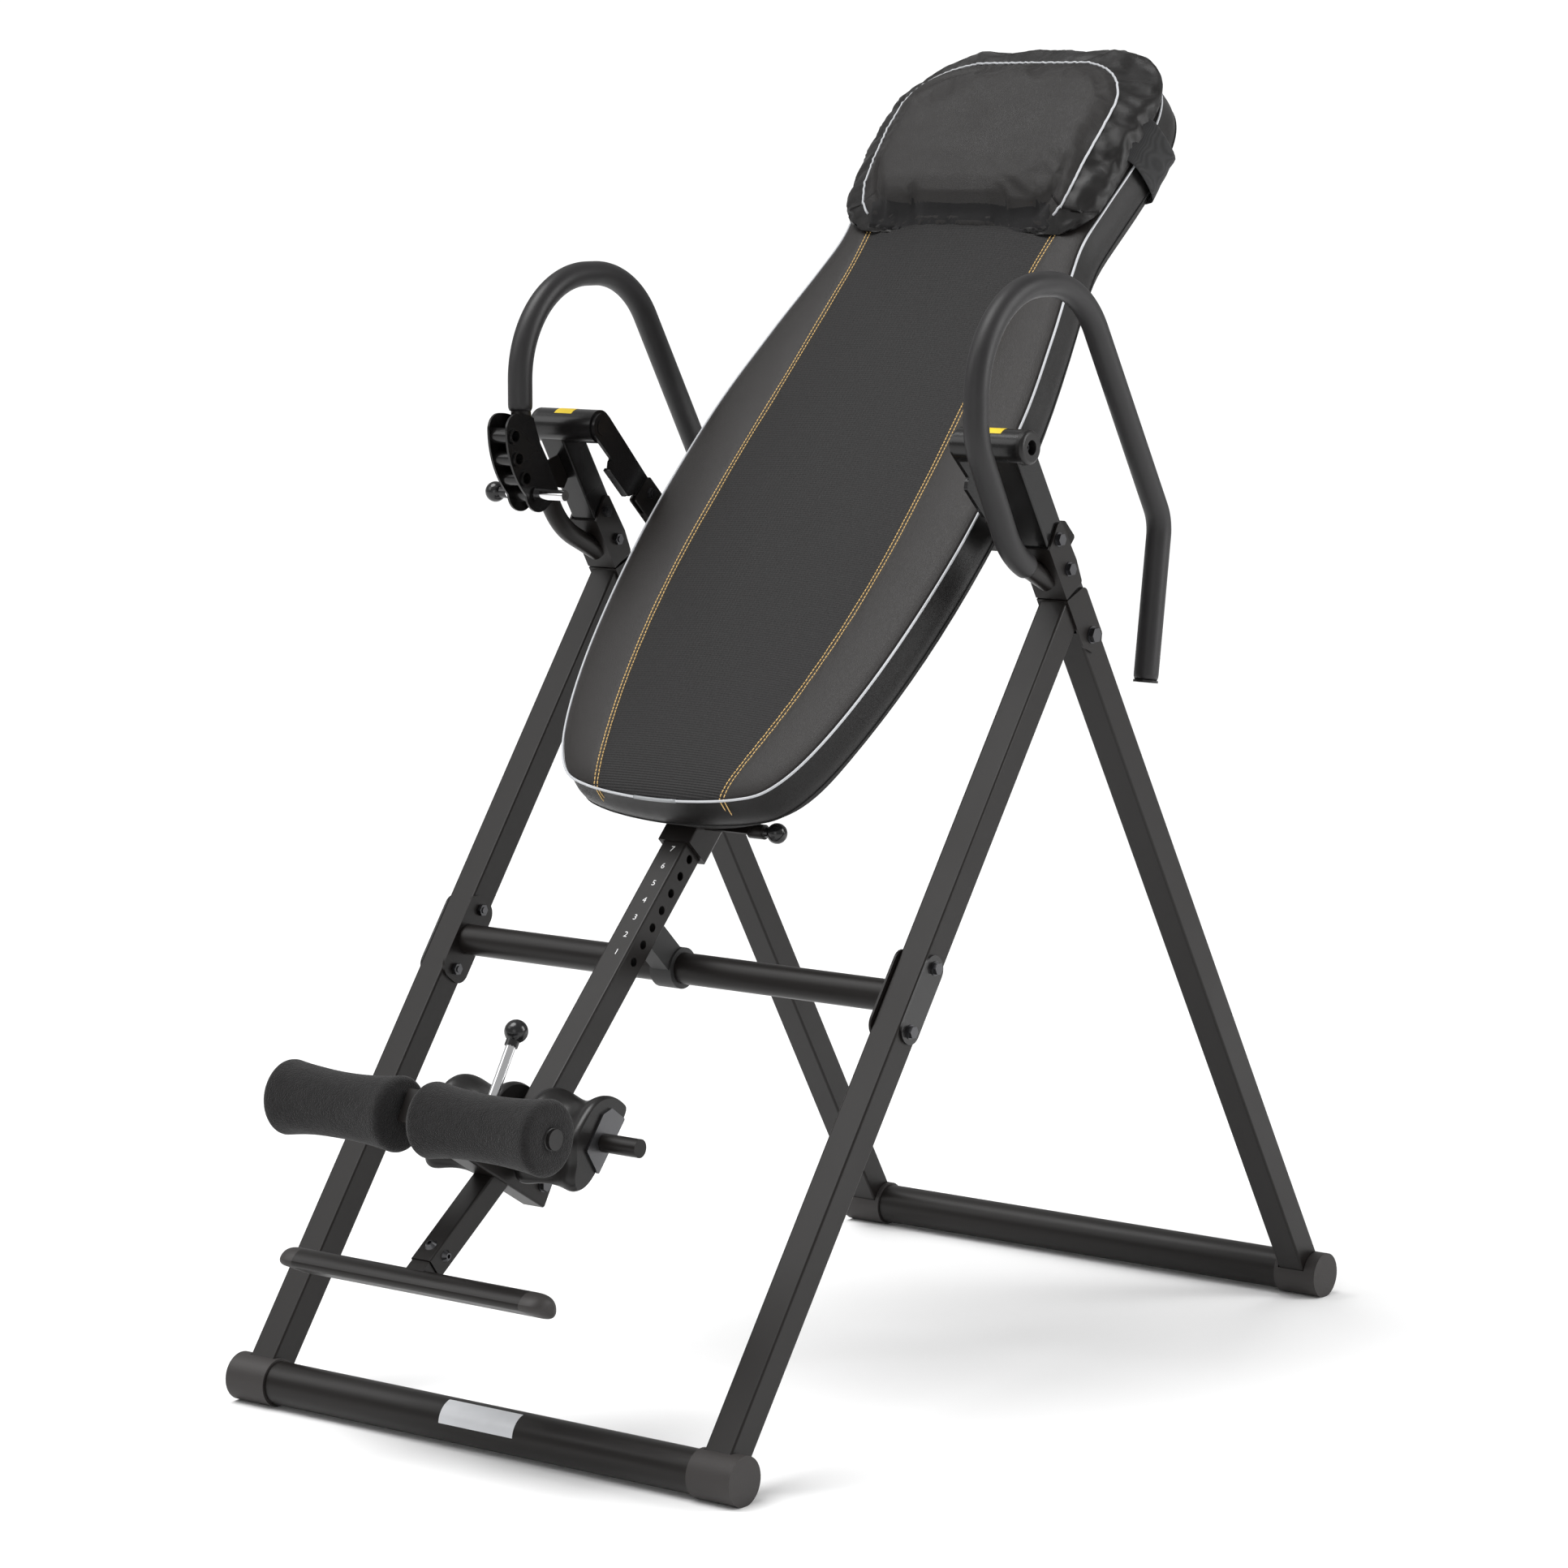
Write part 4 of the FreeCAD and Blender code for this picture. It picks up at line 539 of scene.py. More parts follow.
def build_pad():
    """Cover, side wall and back as one closed skin: rings near the edge, then a grid in the middle."""
    count = len(outline)
    verts = []
    faces = []

    def add_ring(ring, depths):
        start = len(verts)
        verts.extend(bed(x, u, d) for (x, u), d in zip(ring, depths))
        return start

    start_back = add_ring(ring_of(0.012), [BACK_DEPTH] * count)
    previous = start_back
    # the side wall, slightly bellied
    for t in np.linspace(0, 1, 11):
        depth = BACK_DEPTH + (PIPE_DEPTH + 0.001 - BACK_DEPTH) * t
        belly = 0.0022 * math.sin(math.pi * t) + 0.0008 * math.sin(2 * math.pi * t)
        current = add_ring(ring_of(0.0018 - belly), [depth] * count)
        bridge(faces, previous, current, count)
        previous = current
    # the rounded edge of the face
    for inset in (0.0032, 0.005, 0.0075, 0.0105, 0.014, 0.018, 0.0225, 0.0275, 0.033, 0.039):
        ring = ring_of(inset)
        current = add_ring(ring, cover_depth(ring[:, 0], ring[:, 1], np.full(count, inset)))
        bridge(faces, previous, current, count)
        previous = current

    def depths_at(spots):
        return cover_depth(spots[:, 0], spots[:, 1], distance_inside(spots, outline))

    fill_middle(verts, faces, ring, previous, np.arange(-0.24, 0.2401, GRID), np.arange(FOOT, HEAD, GRID),
                depths_at)
    faces.append(tuple(range(start_back, start_back + count))[::-1])
    return verts, faces


def bed_local(obj):
    """Vertices of a bed piece as columns x, along, depth."""
    count = len(obj.data.vertices)
    flat = np.empty(count * 3)
    obj.data.vertices.foreach_get("co", flat)
    rel = flat.reshape(count, 3) - np.array(PIVOT)
    return np.stack([rel[:, 0], rel @ np.array(UP_BED), rel @ np.array(BEHIND)], axis=1)


def set_bed_local(obj, local):
    """Put the vertices of a bed piece at columns of x, along, depth."""
    world = (np.array(PIVOT) + local[:, :1] * np.array(RIGHT) + local[:, 1:2] * np.array(UP_BED)
             + local[:, 2:3] * np.array(BEHIND))
    obj.data.vertices.foreach_set("co", world.ravel())
    obj.data.update()


def inflate(obj, pinned, cap, pressure, shrink=0.0, frames=20):
    """Cloth with pressure on a closed skin; pinned is a weight per vertex, cap the most a point may move."""
    group = obj.vertex_groups.new(name="pin")
    for i, weight in enumerate(pinned):
        if weight > 0.01:
            group.add([i], float(weight), "REPLACE")
    before = np.empty(len(obj.data.vertices) * 3)
    obj.data.vertices.foreach_get("co", before)
    cloth = obj.modifiers.new("cloth", "CLOTH")
    settings = cloth.settings
    settings.quality = 5
    settings.mass = 0.3
    settings.tension_stiffness = 30
    settings.compression_stiffness = 30
    settings.shear_stiffness = 10
    settings.bending_stiffness = 1.2
    settings.use_pressure = True
    settings.uniform_pressure_force = pressure
    settings.shrink_min = shrink
    settings.vertex_group_mass = "pin"
    settings.effector_weights.gravity = 0
    cloth.collision_settings.use_collision = False
    cloth.point_cache.frame_start = 1
    cloth.point_cache.frame_end = frames
    for f in range(1, frames + 1):
        bpy.context.scene.frame_set(f)
    evaluated = obj.evaluated_get(bpy.context.evaluated_depsgraph_get())
    after = np.empty(len(obj.data.vertices) * 3)
    evaluated.data.vertices.foreach_get("co", after)
    obj.modifiers.remove(cloth)
    obj.vertex_groups.clear()
    bpy.context.scene.frame_set(1)
    before = before.reshape(-1, 3)
    move = after.reshape(-1, 3) - before
    size = np.linalg.norm(move, axis=1)
    move *= np.minimum(1, cap / np.maximum(size, 1e-9))[:, None]
    obj.data.vertices.foreach_set("co", (before + move).ravel())
    obj.data.update()


def paint_panel(obj):
    """Store how far each point lies inside the two long seams."""
    local = bed_local(obj)
    attribute = obj.data.attributes.new("panel", "FLOAT", "POINT")
    attribute.data.foreach_set("value", smooth_seam(local[:, 1]) - np.abs(local[:, 0]))


pad_verts, pad_faces = build_pad()
pad = piece("pad_cover", pad_verts, pad_faces, [BED_COVER, WALL_VINYL], "bed")
here = bed_local(pad)
gap = distance_inside(here[:, :2], outline)
seam_gap = np.abs(np.abs(here[:, 0]) - smooth_seam(here[:, 1]))
pin = np.ones(len(here))
face = (here[:, 2] < PIPE_DEPTH - 0.002) & (gap > 0.004)
pin[face] = np.clip(1 - (gap[face] - 0.004) / 0.02, 0, 1)
near_seam = face & (seam_gap < 0.006) & (here[:, 1] < GROOVE_END)
pin[near_seam] = np.maximum(pin[near_seam], 0.85)
inflate(pad, pin, 0.004, 4.0)
paint_panel(pad)
pad_depths = bed_local(pad)[:, 2]
for polygon in pad.data.polygons:
    if min(pad_depths[i] for i in polygon.vertices) > PIPE_DEPTH + 0.0005:
        polygon.material_index = 1
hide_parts("backrest_pad")

# ---------------------------------------------------------------- piping, seams and stitches on the bed
def on_surface(tree, x, along, above):
    """The point where a line down onto the bed's face meets a skin, and the skin's normal there."""
    start = bed(x, along, 0.02)
    spot, normal, _, _ = tree.ray_cast(start, BEHIND)
    if spot is None:
        return None, None
    if normal.dot(BEHIND) > 0:
        normal = -normal
    return spot + normal * above, normal


def skin_tree(obj):
    graph = bpy.context.evaluated_depsgraph_get()
    return BVHTree.FromObject(obj, graph)


pad_tree = skin_tree(pad)


def dashes(tree, path, pitch, length, radius):
    """Short thread stitches along a path of (x, along) points laid on a skin."""
    path = np.array(path)
    steps = np.linalg.norm(np.diff(path, axis=0), axis=1)
    reach = np.concatenate([[0], np.cumsum(steps)])
    parts = []
    for start in np.arange(0, reach[-1] - pitch, pitch):
        spots = []
        normals = []
        for t in (0, 0.18, 0.5, 0.82, 1):
            at = start + t * length
            x = float(np.interp(at, reach, path[:, 0]))
            u = float(np.interp(at, reach, path[:, 1]))
            sink = -radius * 0.9 if t in (0, 1) else radius * 0.35
            spot, normal = on_surface(tree, x, u, sink)
            if spot is None:
                break
            spots.append(spot)
            normals.append(normal)
        if len(spots) == 5:
            parts.append(tube(spots, radius, sides=6, flat=0.7, normals=normals))
    return join(parts)


SEAM_END = 0.452
ROW_SHIFT = 0.0026
STITCH_PITCH = 0.0052
STITCH_LENGTH = 0.0041
THREAD_RADIUS = 0.0008
PIPE_RADIUS = 0.0016
for side, sign in (("left", -1), ("right", 1)):
    for row, shift in (("inner", -ROW_SHIFT), ("outer", ROW_SHIFT)):
        stations = np.arange(FOOT + 0.0075, SEAM_END, 0.006)
        line = [(sign * (smooth_seam(u) + shift), u) for u in stations]
        verts, faces = dashes(pad_tree, line, STITCH_PITCH, STITCH_LENGTH, THREAD_RADIUS)
        piece("pad_stitches_%s_%s" % (side, row), verts, faces, [THREAD_GOLD], "bed")

loop = ring_of(0.0004)
pipe_points = [bed(x, u, PIPE_DEPTH - 0.0004) for x, u in loop]
verts, faces = tube(pipe_points, PIPE_RADIUS, sides=10, closed=True)
piece("pad_piping", verts, faces, [PIPING], "bed")
# a short sleeve covers the join of the piping at the foot end
foot_index = int(np.argmin(loop[:, 1]))
sleeve_points = [pipe_points[(foot_index + k) % len(pipe_points)] for k in range(-5, 6)]
verts, faces = tube(sleeve_points, 0.0023, sides=12)
piece("piping_sleeve", verts, faces, [PIPE_JOIN], "bed")
low_loop = ring_of(0.0012)
verts, faces = tube([bed(x, u, BACK_DEPTH - 0.002) for x, u in low_loop], 0.0012, sides=8, closed=True)
piece("pad_hem", verts, faces, [THREAD_DARK], "bed")

# ---------------------------------------------------------------- the pillow
# rows of (along, depth of the piping)
PIPING_LINE = np.array([(0.4395, 0.1060), (0.447, 0.0960), (0.462, 0.0880), (0.490, 0.0800), (0.530, 0.0750),
                        (0.580, 0.0730), (0.630, 0.0735), (0.660, 0.0750), (0.685, 0.0780), (0.700, 0.0800)])
PILLOW_MIDDLE = 0.59
PILLOW_UNDER = 0.1135
PILLOW_SEAT = 0.1115


def rounded_loop(half, low, high, corner_low, corner_high, bow=0.0, count=240):
    """A closed loop like a rounded rectangle, with its lower edge bowed down in the middle."""
    points = []
    for k in range(13):
        t = k / 12
        points.append((-half + corner_low + (2 * half - 2 * corner_low) * t,
                       low - bow * math.sin(math.pi * t)))
    corners = ((half - corner_low, low + corner_low, corner_low, -math.pi / 2, range(1, 9)),
               (half - corner_high, high - corner_high, corner_high, 0, range(9)),
               (-half + corner_high, high - corner_high, corner_high, math.pi / 2, range(9)),
               (-half + corner_low, low + corner_low, corner_low, math.pi, range(8)))
    for x, along, radius, start, steps in corners:
        for k in steps:
            a = start + math.pi / 2 * k / 8
            points.append((x + radius * math.cos(a), along + radius * math.sin(a)))
    return closed_spline(np.array(points), count)


def piping_depth(along):
    return float(np.interp(along, PIPING_LINE[:, 0], PIPING_LINE[:, 1]))


base_loop = rounded_loop(0.2035, 0.436, 0.752, 0.05, 0.112, bow=0.004)
front_loop = rounded_loop(0.1665, 0.442, 0.703, 0.03, 0.090, bow=0.004)
# both loops start at the same corner and run the same way round; each narrows towards the foot end
base_loop[:, 0] *= np.interp(base_loop[:, 1], [0.436, 0.49, 0.58, 0.66, 0.747],
                             [0.93, 0.975, 1.0, 0.985, 0.99])
front_loop[:, 0] *= np.interp(front_loop[:, 1], [0.446, 0.49, 0.58, 0.64, 0.70],
                              [0.90, 0.965, 1.0, 0.995, 0.96])


def crown_at(gap):
    """How far the pillow's face rises above its piping, at a distance in from it."""
    return 0.0095 * (1 - math.exp(-gap / 0.018))


def pillow_depths(points):
    gap = distance_inside(points, front_loop)
    depths = []
    for (x, u), inwards in zip(points, gap):
        depths.append(piping_depth(u) - (crown_at(inwards) + 0.003 * (1 - (x / 0.17) ** 2)))
    return depths


def build_pillow():
    """Underside, swollen side and crowned face as one closed skin."""
    count = len(base_loop)
    verts = []
    faces = []

    def add(points):
        start = len(verts)
        verts.extend(points)
        return start

    first = add([bed(x * 0.97, PILLOW_MIDDLE + (u - PILLOW_MIDDLE) * 0.97, PILLOW_UNDER)
                 for x, u in base_loop])
    previous = first
    for t in np.linspace(0, 1, 14):
        row = []
        for (bx, bu), (fx, fu) in zip(base_loop, front_loop):
            swell = math.sin(math.pi * t) * 0.011
            x = bx + (fx - bx) * t
            u = bu + (fu - bu) * t
            reach = math.hypot(x, (u - PILLOW_MIDDLE)) + 1e-6
            depth = PILLOW_SEAT + (piping_depth(fu) - PILLOW_SEAT) * (t ** 0.85)
            row.append(bed(x + x / reach * swell, u + (u - PILLOW_MIDDLE) / reach * swell * 0.8, depth))
        current = add(row)
        bridge(faces, previous, current, count)
        previous = current
    depths = np.array([piping_depth(u) for _, u in front_loop])
    centre = np.array([0.0, 0.575])
    for inset in (0.004, 0.009, 0.015, 0.022):
        row = []
        for i, (x, u) in enumerate(front_loop):
            inward = centre - np.array([x, u])
            inward /= np.linalg.norm(inward)
            row.append(bed(x + inward[0] * inset, u + inward[1] * inset, depths[i] - crown_at(inset)))
        current = add(row)
        bridge(faces, previous, current, count)
        previous = current
    last = np.array([(x + (centre[0] - x) / np.hypot(*(centre - (x, u))) * inset,
                      u + (centre[1] - u) / np.hypot(*(centre - (x, u))) * inset) for x, u in front_loop])
    fill_middle(verts, faces, last, previous, np.arange(-0.17, 0.1701, GRID), np.arange(0.44, 0.71, GRID),
                pillow_depths)
    faces.append(tuple(range(first, first + count))[::-1])
    return verts, faces


verts, faces = build_pillow()
pillow = piece("pillow_cover", verts, faces, [SIDE_VINYL, WALL_VINYL], "bed")
here = bed_local(pillow)
gap = distance_inside(here[:, :2], front_loop)
pin = np.zeros(len(here))
pin[here[:, 2] > 0.1105] = 1
rim = np.abs(gap) < 0.002
pin[rim] = 0.9
inflate(pillow, pin, 0.007, 4.5, shrink=-0.03)
here = bed_local(pillow)
# pulled creases where the cover is gathered down the sides
on_side = distance_inside(here[:, :2], front_loop) < -0.001
turn = np.arctan2(here[:, 1] - PILLOW_MIDDLE, here[:, 0])
rise = np.clip((0.112 - here[:, 2]) / 0.035, 0, 1)
crease = (np.sin(turn * 37 + 3 * np.sin(turn * 5)) * 0.55 + np.sin(turn * 71 + 5 * np.sin(turn * 3)) * 0.3)
amount = np.where(on_side, 0.0011 * np.sin(np.pi * np.clip(rise, 0, 1)) * crease, 0)
reach = np.hypot(here[:, 0], here[:, 1] - PILLOW_MIDDLE) + 1e-6
here[:, 0] += here[:, 0] / reach * amount
here[:, 1] += (here[:, 1] - PILLOW_MIDDLE) / reach * amount
set_bed_local(pillow, here)
centres = np.array([tuple(polygon.center - PIVOT) for polygon in pillow.data.polygons])
outside = distance_inside(np.stack([centres[:, 0], centres @ np.array(UP_BED)], axis=1), front_loop) < 0
for polygon, is_wall in zip(pillow.data.polygons, outside):
    if is_wall:
        polygon.material_index = 1
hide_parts("head_pillow")

pillow_tree = skin_tree(pillow)
rim_points = []
for x, u in front_loop:
    spot = bed(x, u, piping_depth(u))
    nearest, normal, _, _ = pillow_tree.find_nearest(spot)
    rim_points.append(nearest + normal * 0.0006)
# the piping leaves out the pillow's foot end, so it is one open run round the rest
PIPING_STOP = 0.449
run = [i for i in range(len(front_loop)) if front_loop[i, 1] > PIPING_STOP]
breaks = [k for k in range(len(run)) if run[k] - run[k - 1] != 1]
cut_at = breaks[-1] if len(breaks) > 1 else 0
ordered = run[cut_at:] + run[:cut_at]
verts, faces = tube([rim_points[i] for i in ordered], PIPE_RADIUS, sides=10)
piece("pillow_piping", verts, faces, [PIPING], "bed")

# ribbed strip along the pillow's foot end
STRIP_HALF = 0.141
STRIP_FOOT = 0.438
STRIP_WIDTH = 0.030
STRIP_COLUMNS = 81
STRIP_ROWS = 9
strip_verts = []
for j in range(STRIP_ROWS):
    for i in range(STRIP_COLUMNS):
        x = -STRIP_HALF + 2 * STRIP_HALF * i / (STRIP_COLUMNS - 1)
        t = j / (STRIP_ROWS - 1)
        along = STRIP_FOOT + STRIP_WIDTH * t - 0.004 * (1 - (x / STRIP_HALF) ** 2)
        spot, normal, _, _ = pillow_tree.ray_cast(bed(x, along - 0.02 * (1 - t), 0.02), BEHIND)
        if spot is None:
            spot = bed(x, along, 0.105)
            normal = -BEHIND
        if normal.dot(BEHIND) > 0:
            normal = -normal
        inner = 0 < j < STRIP_ROWS - 1 and 0 < i < STRIP_COLUMNS - 1
        lift = 0.0005 if inner else -0.0006
        strip_verts.append(spot + normal * lift)
piece("pillow_strip", strip_verts, sheet_faces(STRIP_ROWS, STRIP_COLUMNS), [RIBBED], "bed")


# ---------------------------------------------------------------- the pillow's elastic strap
# rows of (x, depth) round the right half of the bed, from the pillow's side to the middle behind the board
STRAP_HALF = [(0.1885, 0.0925), (0.1965, 0.0995), (0.2045, 0.108), (0.2070, 0.116), (0.2085, 0.128),
              (0.2095, 0.145), (0.209, 0.165), (0.2055, 0.178), (0.199, 0.1848), (0.150, 0.1852),
              (0.08, 0.1850), (0.0, 0.1850)]
STRAP_FOOT = 0.556
STRAP_HEAD = 0.629
STRAP_EDGE = 0.006
profile = STRAP_HALF + [(-x, depth) for x, depth in reversed(STRAP_HALF[:-1])]
stations = np.linspace(STRAP_FOOT, STRAP_HEAD, 14)
strap_verts = []
for u in stations:
    lift = 0.0009 if min(abs(u - stations[0]), abs(u - stations[-1])) < STRAP_EDGE else 0.0
    for k, (x, depth) in enumerate(profile):
        sign = 1 if x > 0 else -1
        pull = 0.0006 * math.sin(u * 900 + k)
        outwards = sign * (lift + pull) * (abs(x) > 0.19)
        strap_verts.append(bed(x + outwards, u, depth + (lift if depth > 0.18 else 0)))
strap = piece("pillow_elastic", strap_verts, sheet_faces(len(stations), len(profile)), [ELASTIC], "bed")
thick = strap.modifiers.new("thickness", "SOLIDIFY")
thick.thickness = 0.0016
thick.offset = 0
soften = strap.modifiers.new("soften", "SUBSURF")
soften.levels = 1
soften.render_levels = 1
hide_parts("pillow_strap")

# ---------------------------------------------------------------- foam rollers
AXLE = ankle(0, 0.1012, -0.0083)


def foam_roller(side, sign):
    """A waisted foam roller with rounded ends, and the plug in its outer end."""
    near, far, full, waist, bore = 0.0182, 0.1998, 0.0438, 0.0378, 0.0095
    profile = [(near + 0.0006, bore), (near + 0.0003, 0.018), (near, 0.030), (near + 0.0008, 0.0355)]
    for k in range(1, 7):
        a = math.pi / 2 * k / 6
        profile.append((near + 0.0008 + 0.0085 * (1 - math.cos(a)), 0.0355 + (full - 0.0355) * math.sin(a)))
    for k in range(1, 24):
        t = k / 24
        x = near + 0.0093 + (far - near - 0.0186) * t
        profile.append((x, waist + (full - waist) * (abs(2 * t - 1) ** 2.2)))
    profile += [(near + far - x, r) for x, r in reversed(profile[:10])]

    def wobble(x, turn):
        return 0.004 * math.sin(3 * turn + x * 60) + 0.003 * math.sin(5 * turn - x * 90)

    verts, faces = lathe([(sign * x, r) for x, r in profile], AXLE, 96, wobble)
    if sign < 0:
        faces = [face[::-1] for face in faces]
    made = piece("roller_foam_" + side, verts, faces, [ROLLER_FOAM], "roller_" + side)
    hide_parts("foam_roller_" + side)
    plug = [(0.1966, 0.0135), (0.2004, 0.0135), (0.2012, 0.0128), (0.2015, 0.0115)]
    verts, faces = lathe([(sign * x, r) for x, r in plug], AXLE, 40)
    if sign < 0:
        faces = [face[::-1] for face in faces]
    piece("roller_plug_" + side, verts, faces, [MOULDED], "roller_" + side)


for side, sign in (("left", -1), ("right", 1)):
    foam_roller(side, sign)


# ---------------------------------------------------------------- foam grips on the handles
def bent(points, radii, x, spacing=0.004):
    """Points along straight runs and tangent arcs, given (y, z) corners in millimetres."""
    corners = [Vector((x, y * MM, z * MM)) for y, z in points]
    path = [corners[0]]
    for i in range(1, len(corners) - 1):
        before = (corners[i - 1] - corners[i]).normalized()
        after = (corners[i + 1] - corners[i]).normalized()
        half = before.angle(after) / 2
        radius = radii[i - 1] * MM
        reach = radius / math.tan(half)
        centre = corners[i] + (before + after).normalized() * (radius / math.sin(half))
        first = corners[i] + before * reach
        last = corners[i] + after * reach
        sweep = math.pi - 2 * half
        count = max(3, int(radius * sweep / spacing))
        a = first - centre
        b = last - centre
        for k in range(count + 1):
            t = k / count
            path.append(centre + (a * math.sin((1 - t) * sweep) + b * math.sin(t * sweep)) / math.sin(sweep))
    path.append(corners[-1])
    fine = [path[0]]
    for a, b in zip(path[:-1], path[1:]):
        count = max(1, int((b - a).length / spacing))
        fine.extend(a + (b - a) * ((k + 1) / count) for k in range(count))
    return fine


HANDLE_X = 0.347
GRIP_RADIUS = 0.0154
GRIP_SIDES = 40
RING_PITCH = 0.004
# (y, z) corners in millimetres; both handles share the run over the top, and the right grip starts lower
OVER_TOP = [(-70.5, 1331.5), (142, 1331.5), (320.5, 1037), (292, 843)]
TOP_RADII = [130, 118, 55]
HANDLE = {"left": ([(-70.5, 1165)] + OVER_TOP, TOP_RADII),
          "right": ([(36, 999.9), (3, 1015.4), (-70.5, 1152)] + OVER_TOP, [100, 100] + TOP_RADII)}
for side, sign in (("left", -1), ("right", 1)):
    corners, radii = HANDLE[side]
    path = bent(corners, radii, sign * HANDLE_X)
    count = len(path)
    verts, faces = tube(path, GRIP_RADIUS, sides=GRIP_SIDES)
    # the ends of the sleeve are rounded over and slightly pinched
    for ring in range(count):
        distance = min(ring, count - 1 - ring) * RING_PITCH
        pinch = 0.0016 * math.exp(-distance / 0.002)
        for k in range(GRIP_SIDES):
            i = ring * GRIP_SIDES + k
            verts[i] = verts[i] + (path[ring] - verts[i]).normalized() * pinch
    made = piece("grip_foam_" + side, verts, faces, [GRIP_FOAM], "front_stand")
    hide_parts("handle_grip_" + side)


# ---------------------------------------------------------------- small surface marks
def patch_on(name, centre, v_dir, size, mat, node_name):
    """A thin decal on a node of the front stand, laid by dropping its points along the patch's normal."""
    target = BVHTree.FromObject(nodes[node_name], bpy.context.evaluated_depsgraph_get())
    normal = RIGHT.cross(v_dir).normalized()
    width, height = size
    verts = []
    steps = 14
    for j in range(steps + 1):
        for i in range(steps + 1):
            p = centre + RIGHT * (width * (i / steps - 0.5)) + v_dir * (height * (j / steps - 0.5))
            spot, found, _, _ = target.ray_cast(p + normal * 0.05, -normal)
            if spot is None:
                spot, found = p, normal
            verts.append(spot + found * 0.0002)
    piece(name, verts, sheet_faces(steps + 1, steps + 1), [mat], "front_stand")


# plain yellow patches on the pivot housings
PATCH_TILT = math.radians(18)
for side, x in (("left", -0.326), ("right", 0.328)):
    patch_on("housing_patch_" + side, Vector((x, -0.006, PIVOT_HEIGHT + 0.021)),
             Vector((0, math.cos(PATCH_TILT), math.sin(PATCH_TILT))), (0.028, 0.018), YELLOW,
             "upright_" + side)
# a blank label on the front floor tube
LABEL_TILT = math.radians(44)
patch_on("blank_label", Vector((0.010, -0.5735, 0.046)),
         Vector((0, math.sin(LABEL_TILT), math.cos(LABEL_TILT))), (0.112, 0.031), STICKER,
         "front_floor_tube")

# numbers beside the height holes, the highest number nearest the bed
NUMBER_COUNT = 7
HIGHEST_NUMBER = -0.4905
HOLE_PITCH = 0.0254
HEIGHT_TUBE_FACE = 0.1864
for k in range(NUMBER_COUNT):
    text = str(NUMBER_COUNT - k)
    curve = bpy.data.curves.new("hole_number_" + text, "FONT")
    curve.body = text
    curve.size = 0.011
    curve.align_x = "CENTER"
    curve.align_y = "CENTER"
    curve.extrude = 0.00008
    mark = bpy.data.objects.new("hole_number_" + text, curve)
    bpy.context.scene.collection.objects.link(mark)
    turn = Matrix((RIGHT, UP_BED, -BEHIND)).transposed().to_4x4()
    spot = bed(0.002, HIGHEST_NUMBER - HOLE_PITCH * k, HEIGHT_TUBE_FACE)
    mark.matrix_world = Matrix.Translation(spot) @ turn
    curve.materials.append(INK_WHITE)
    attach(mark, "leg_post")

# ---------------------------------------------------------------- floor, light and camera
scene = bpy.context.scene
FLOOR_HALF = 14.0
floor_corners = [(x * FLOOR_HALF, y * FLOOR_HALF, 0) for x, y in ((-1, -1), (1, -1), (1, 1), (-1, 1))]
floor_mesh = bpy.data.meshes.new("floor")
floor_mesh.from_pydata(floor_corners, [], [(0, 1, 2, 3)])
floor = bpy.data.objects.new("floor", floor_mesh)
scene.collection.objects.link(floor)
pale, _, _ = material("pale_floor", (0.92, 0.92, 0.92), 0.8, specular=0.1)
floor_mesh.materials.append(pale)

# a glowing wall round the scene, seen only by the camera
glow, _, shader = material("pale_backdrop", (0, 0, 0), 1.0, specular=0)
shader.inputs["Emission Color"].default_value = (1, 1, 1, 1)
shader.inputs["Emission Strength"].default_value = 1.0
BACKDROP_AWAY = 9.0
BACKDROP_TOP = 9.0
BACKDROP_SIDES = 48
backdrop_mesh = bpy.data.meshes.new("backdrop")
backdrop_verts = []
backdrop_faces = []
for k in range(BACKDROP_SIDES):
    turn = 2 * math.pi * k / BACKDROP_SIDES
    for z in (-0.02, BACKDROP_TOP):
        backdrop_verts.append((BACKDROP_AWAY * math.cos(turn), BACKDROP_AWAY * math.sin(turn), z))
    a, b = 2 * k, 2 * ((k + 1) % BACKDROP_SIDES)
    backdrop_faces.append((a, a + 1, b + 1, b))
backdrop_mesh.from_pydata(backdrop_verts, [], backdrop_faces)
backdrop_mesh.materials.append(glow)
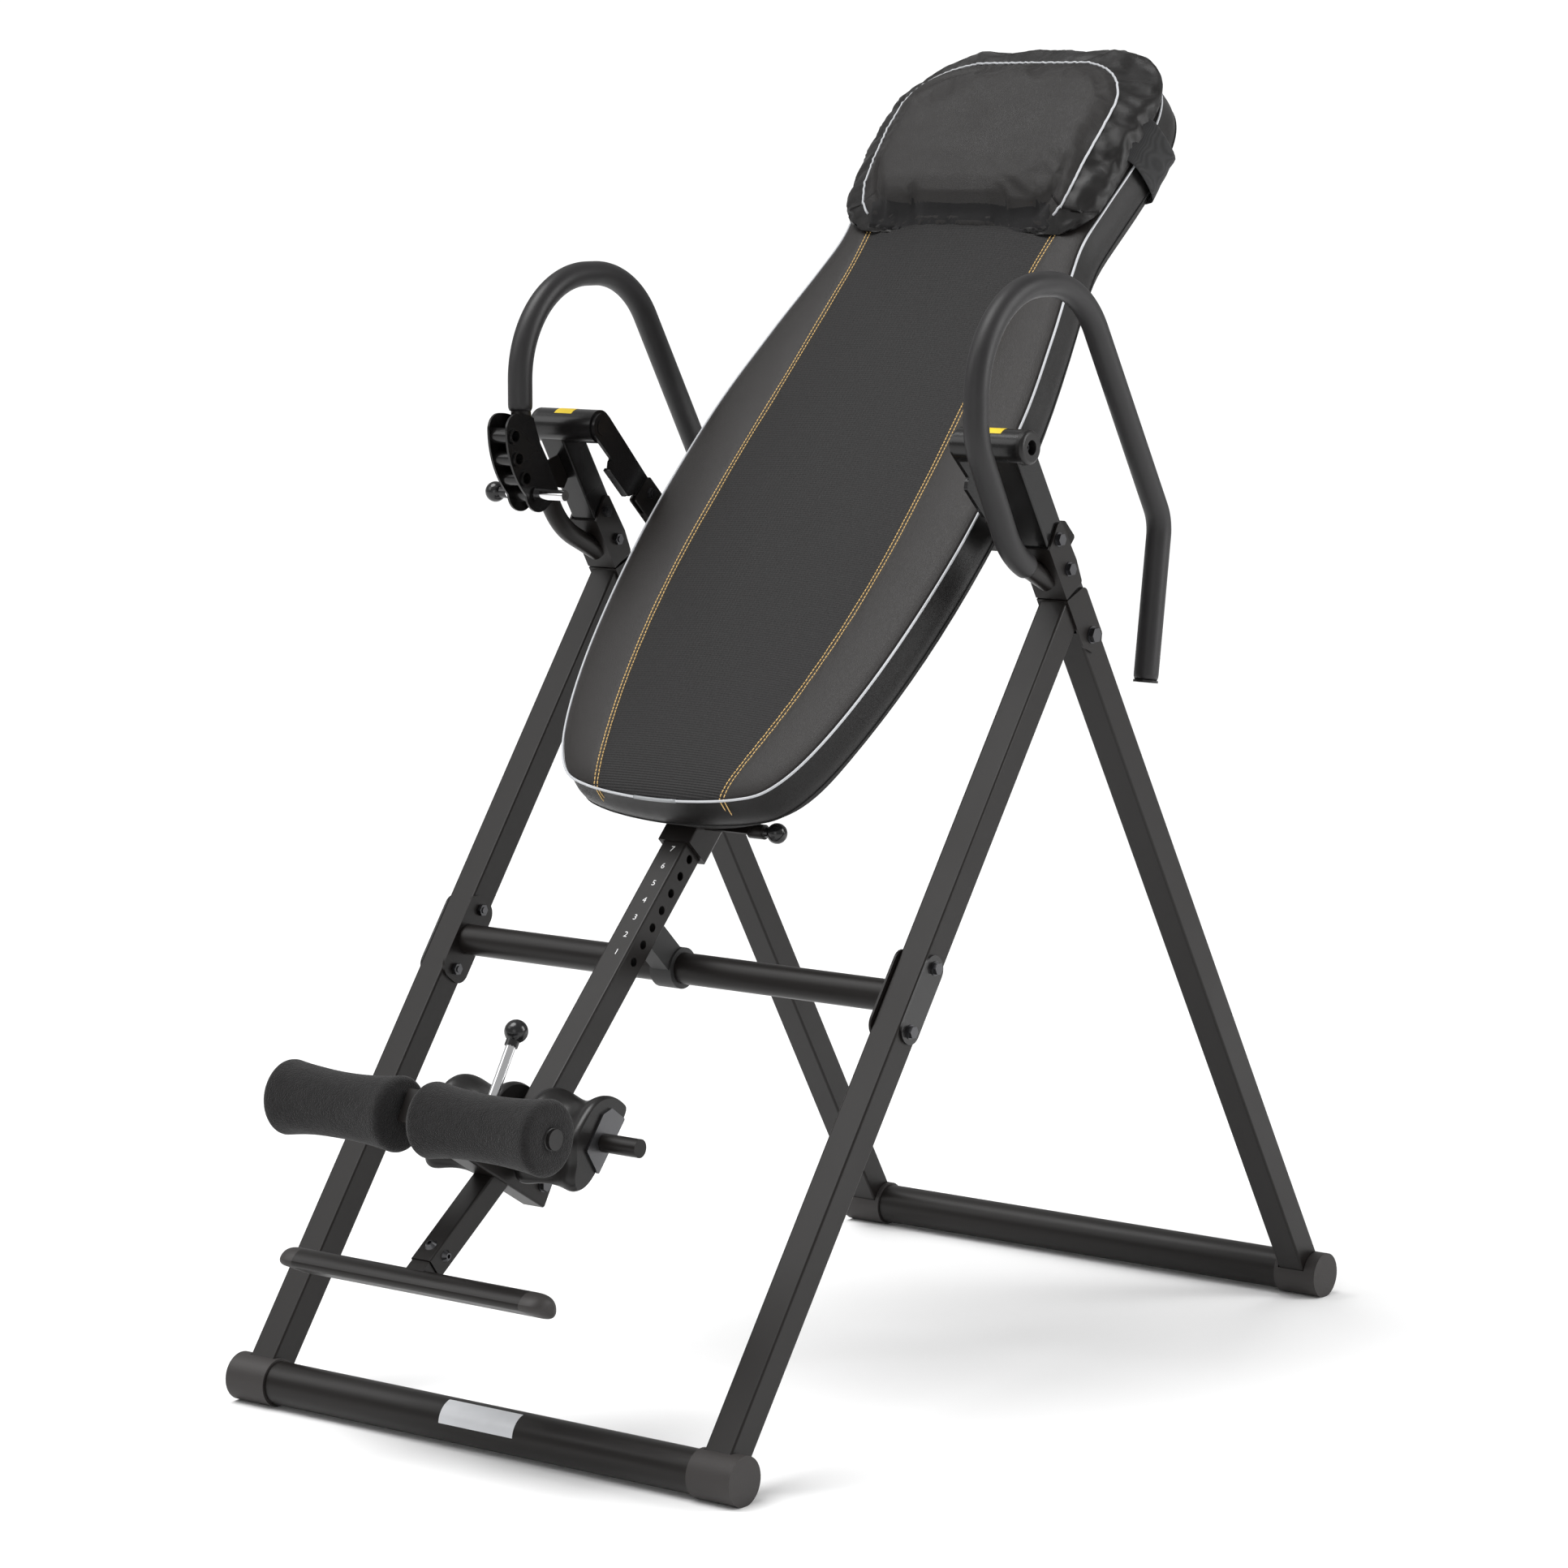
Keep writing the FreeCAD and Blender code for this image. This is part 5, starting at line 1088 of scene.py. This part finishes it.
backdrop = bpy.data.objects.new("backdrop", backdrop_mesh)
scene.collection.objects.link(backdrop)
backdrop.visible_diffuse = False
backdrop.visible_glossy = False
backdrop.visible_shadow = False

world = bpy.data.worlds.new("studio")
scene.world = world
world.use_nodes = True
world.node_tree.nodes["Background"].inputs["Color"].default_value = (1, 1, 1, 1)
world.node_tree.nodes["Background"].inputs["Strength"].default_value = 0.42


def softbox(name, place, width, height, power):
    """A rectangular light that faces the middle of the machine."""
    light = bpy.data.lights.new(name, "AREA")
    light.shape = "RECTANGLE"
    light.size = width
    light.size_y = height
    light.energy = power
    box = bpy.data.objects.new(name, light)
    scene.collection.objects.link(box)
    box.location = place
    box.rotation_mode = "QUATERNION"
    box.rotation_quaternion = (Vector((0, 0, 0.8)) - Vector(place)).to_track_quat("-Z", "Y")


softbox("key_left", (-2.6, -2.6, 3.2), 2.2, 2.2, 28)
softbox("rim_right", (3.2, 1.6, 2.2), 1.4, 2.4, 70)
softbox("front_fill", (1.4, -4.6, 1.6), 2.0, 2.0, 14)
sun_data = bpy.data.lights.new("sun", "SUN")
sun_data.energy = 2.3
sun_data.angle = math.radians(38)
sun = bpy.data.objects.new("sun", sun_data)
scene.collection.objects.link(sun)
sun.rotation_mode = "QUATERNION"
sun.rotation_quaternion = Vector((0.28, 0.30, -1)).to_track_quat("-Z", "Y")

EYE = Vector((3.6088, -4.684, 1.518))
FORWARD = Vector((-0.6035, 0.7860, -0.1342)).normalized()
SIDEWAYS = Vector((0.7932, 0.6090, 0.0)).normalized()
OVERHEAD = SIDEWAYS.cross(FORWARD).normalized()
camera_data = bpy.data.cameras.new("camera")
camera_data.sensor_width = 36
camera_data.lens = 111.85
camera_data.dof.use_dof = False
camera_data.clip_end = 60
camera = bpy.data.objects.new("camera", camera_data)
scene.collection.objects.link(camera)
camera.matrix_world = Matrix.Translation(EYE) @ Matrix((SIDEWAYS, OVERHEAD, -FORWARD)).transposed().to_4x4()
scene.camera = camera
scene.view_settings.view_transform = "Standard"
scene.view_settings.exposure = 0.12
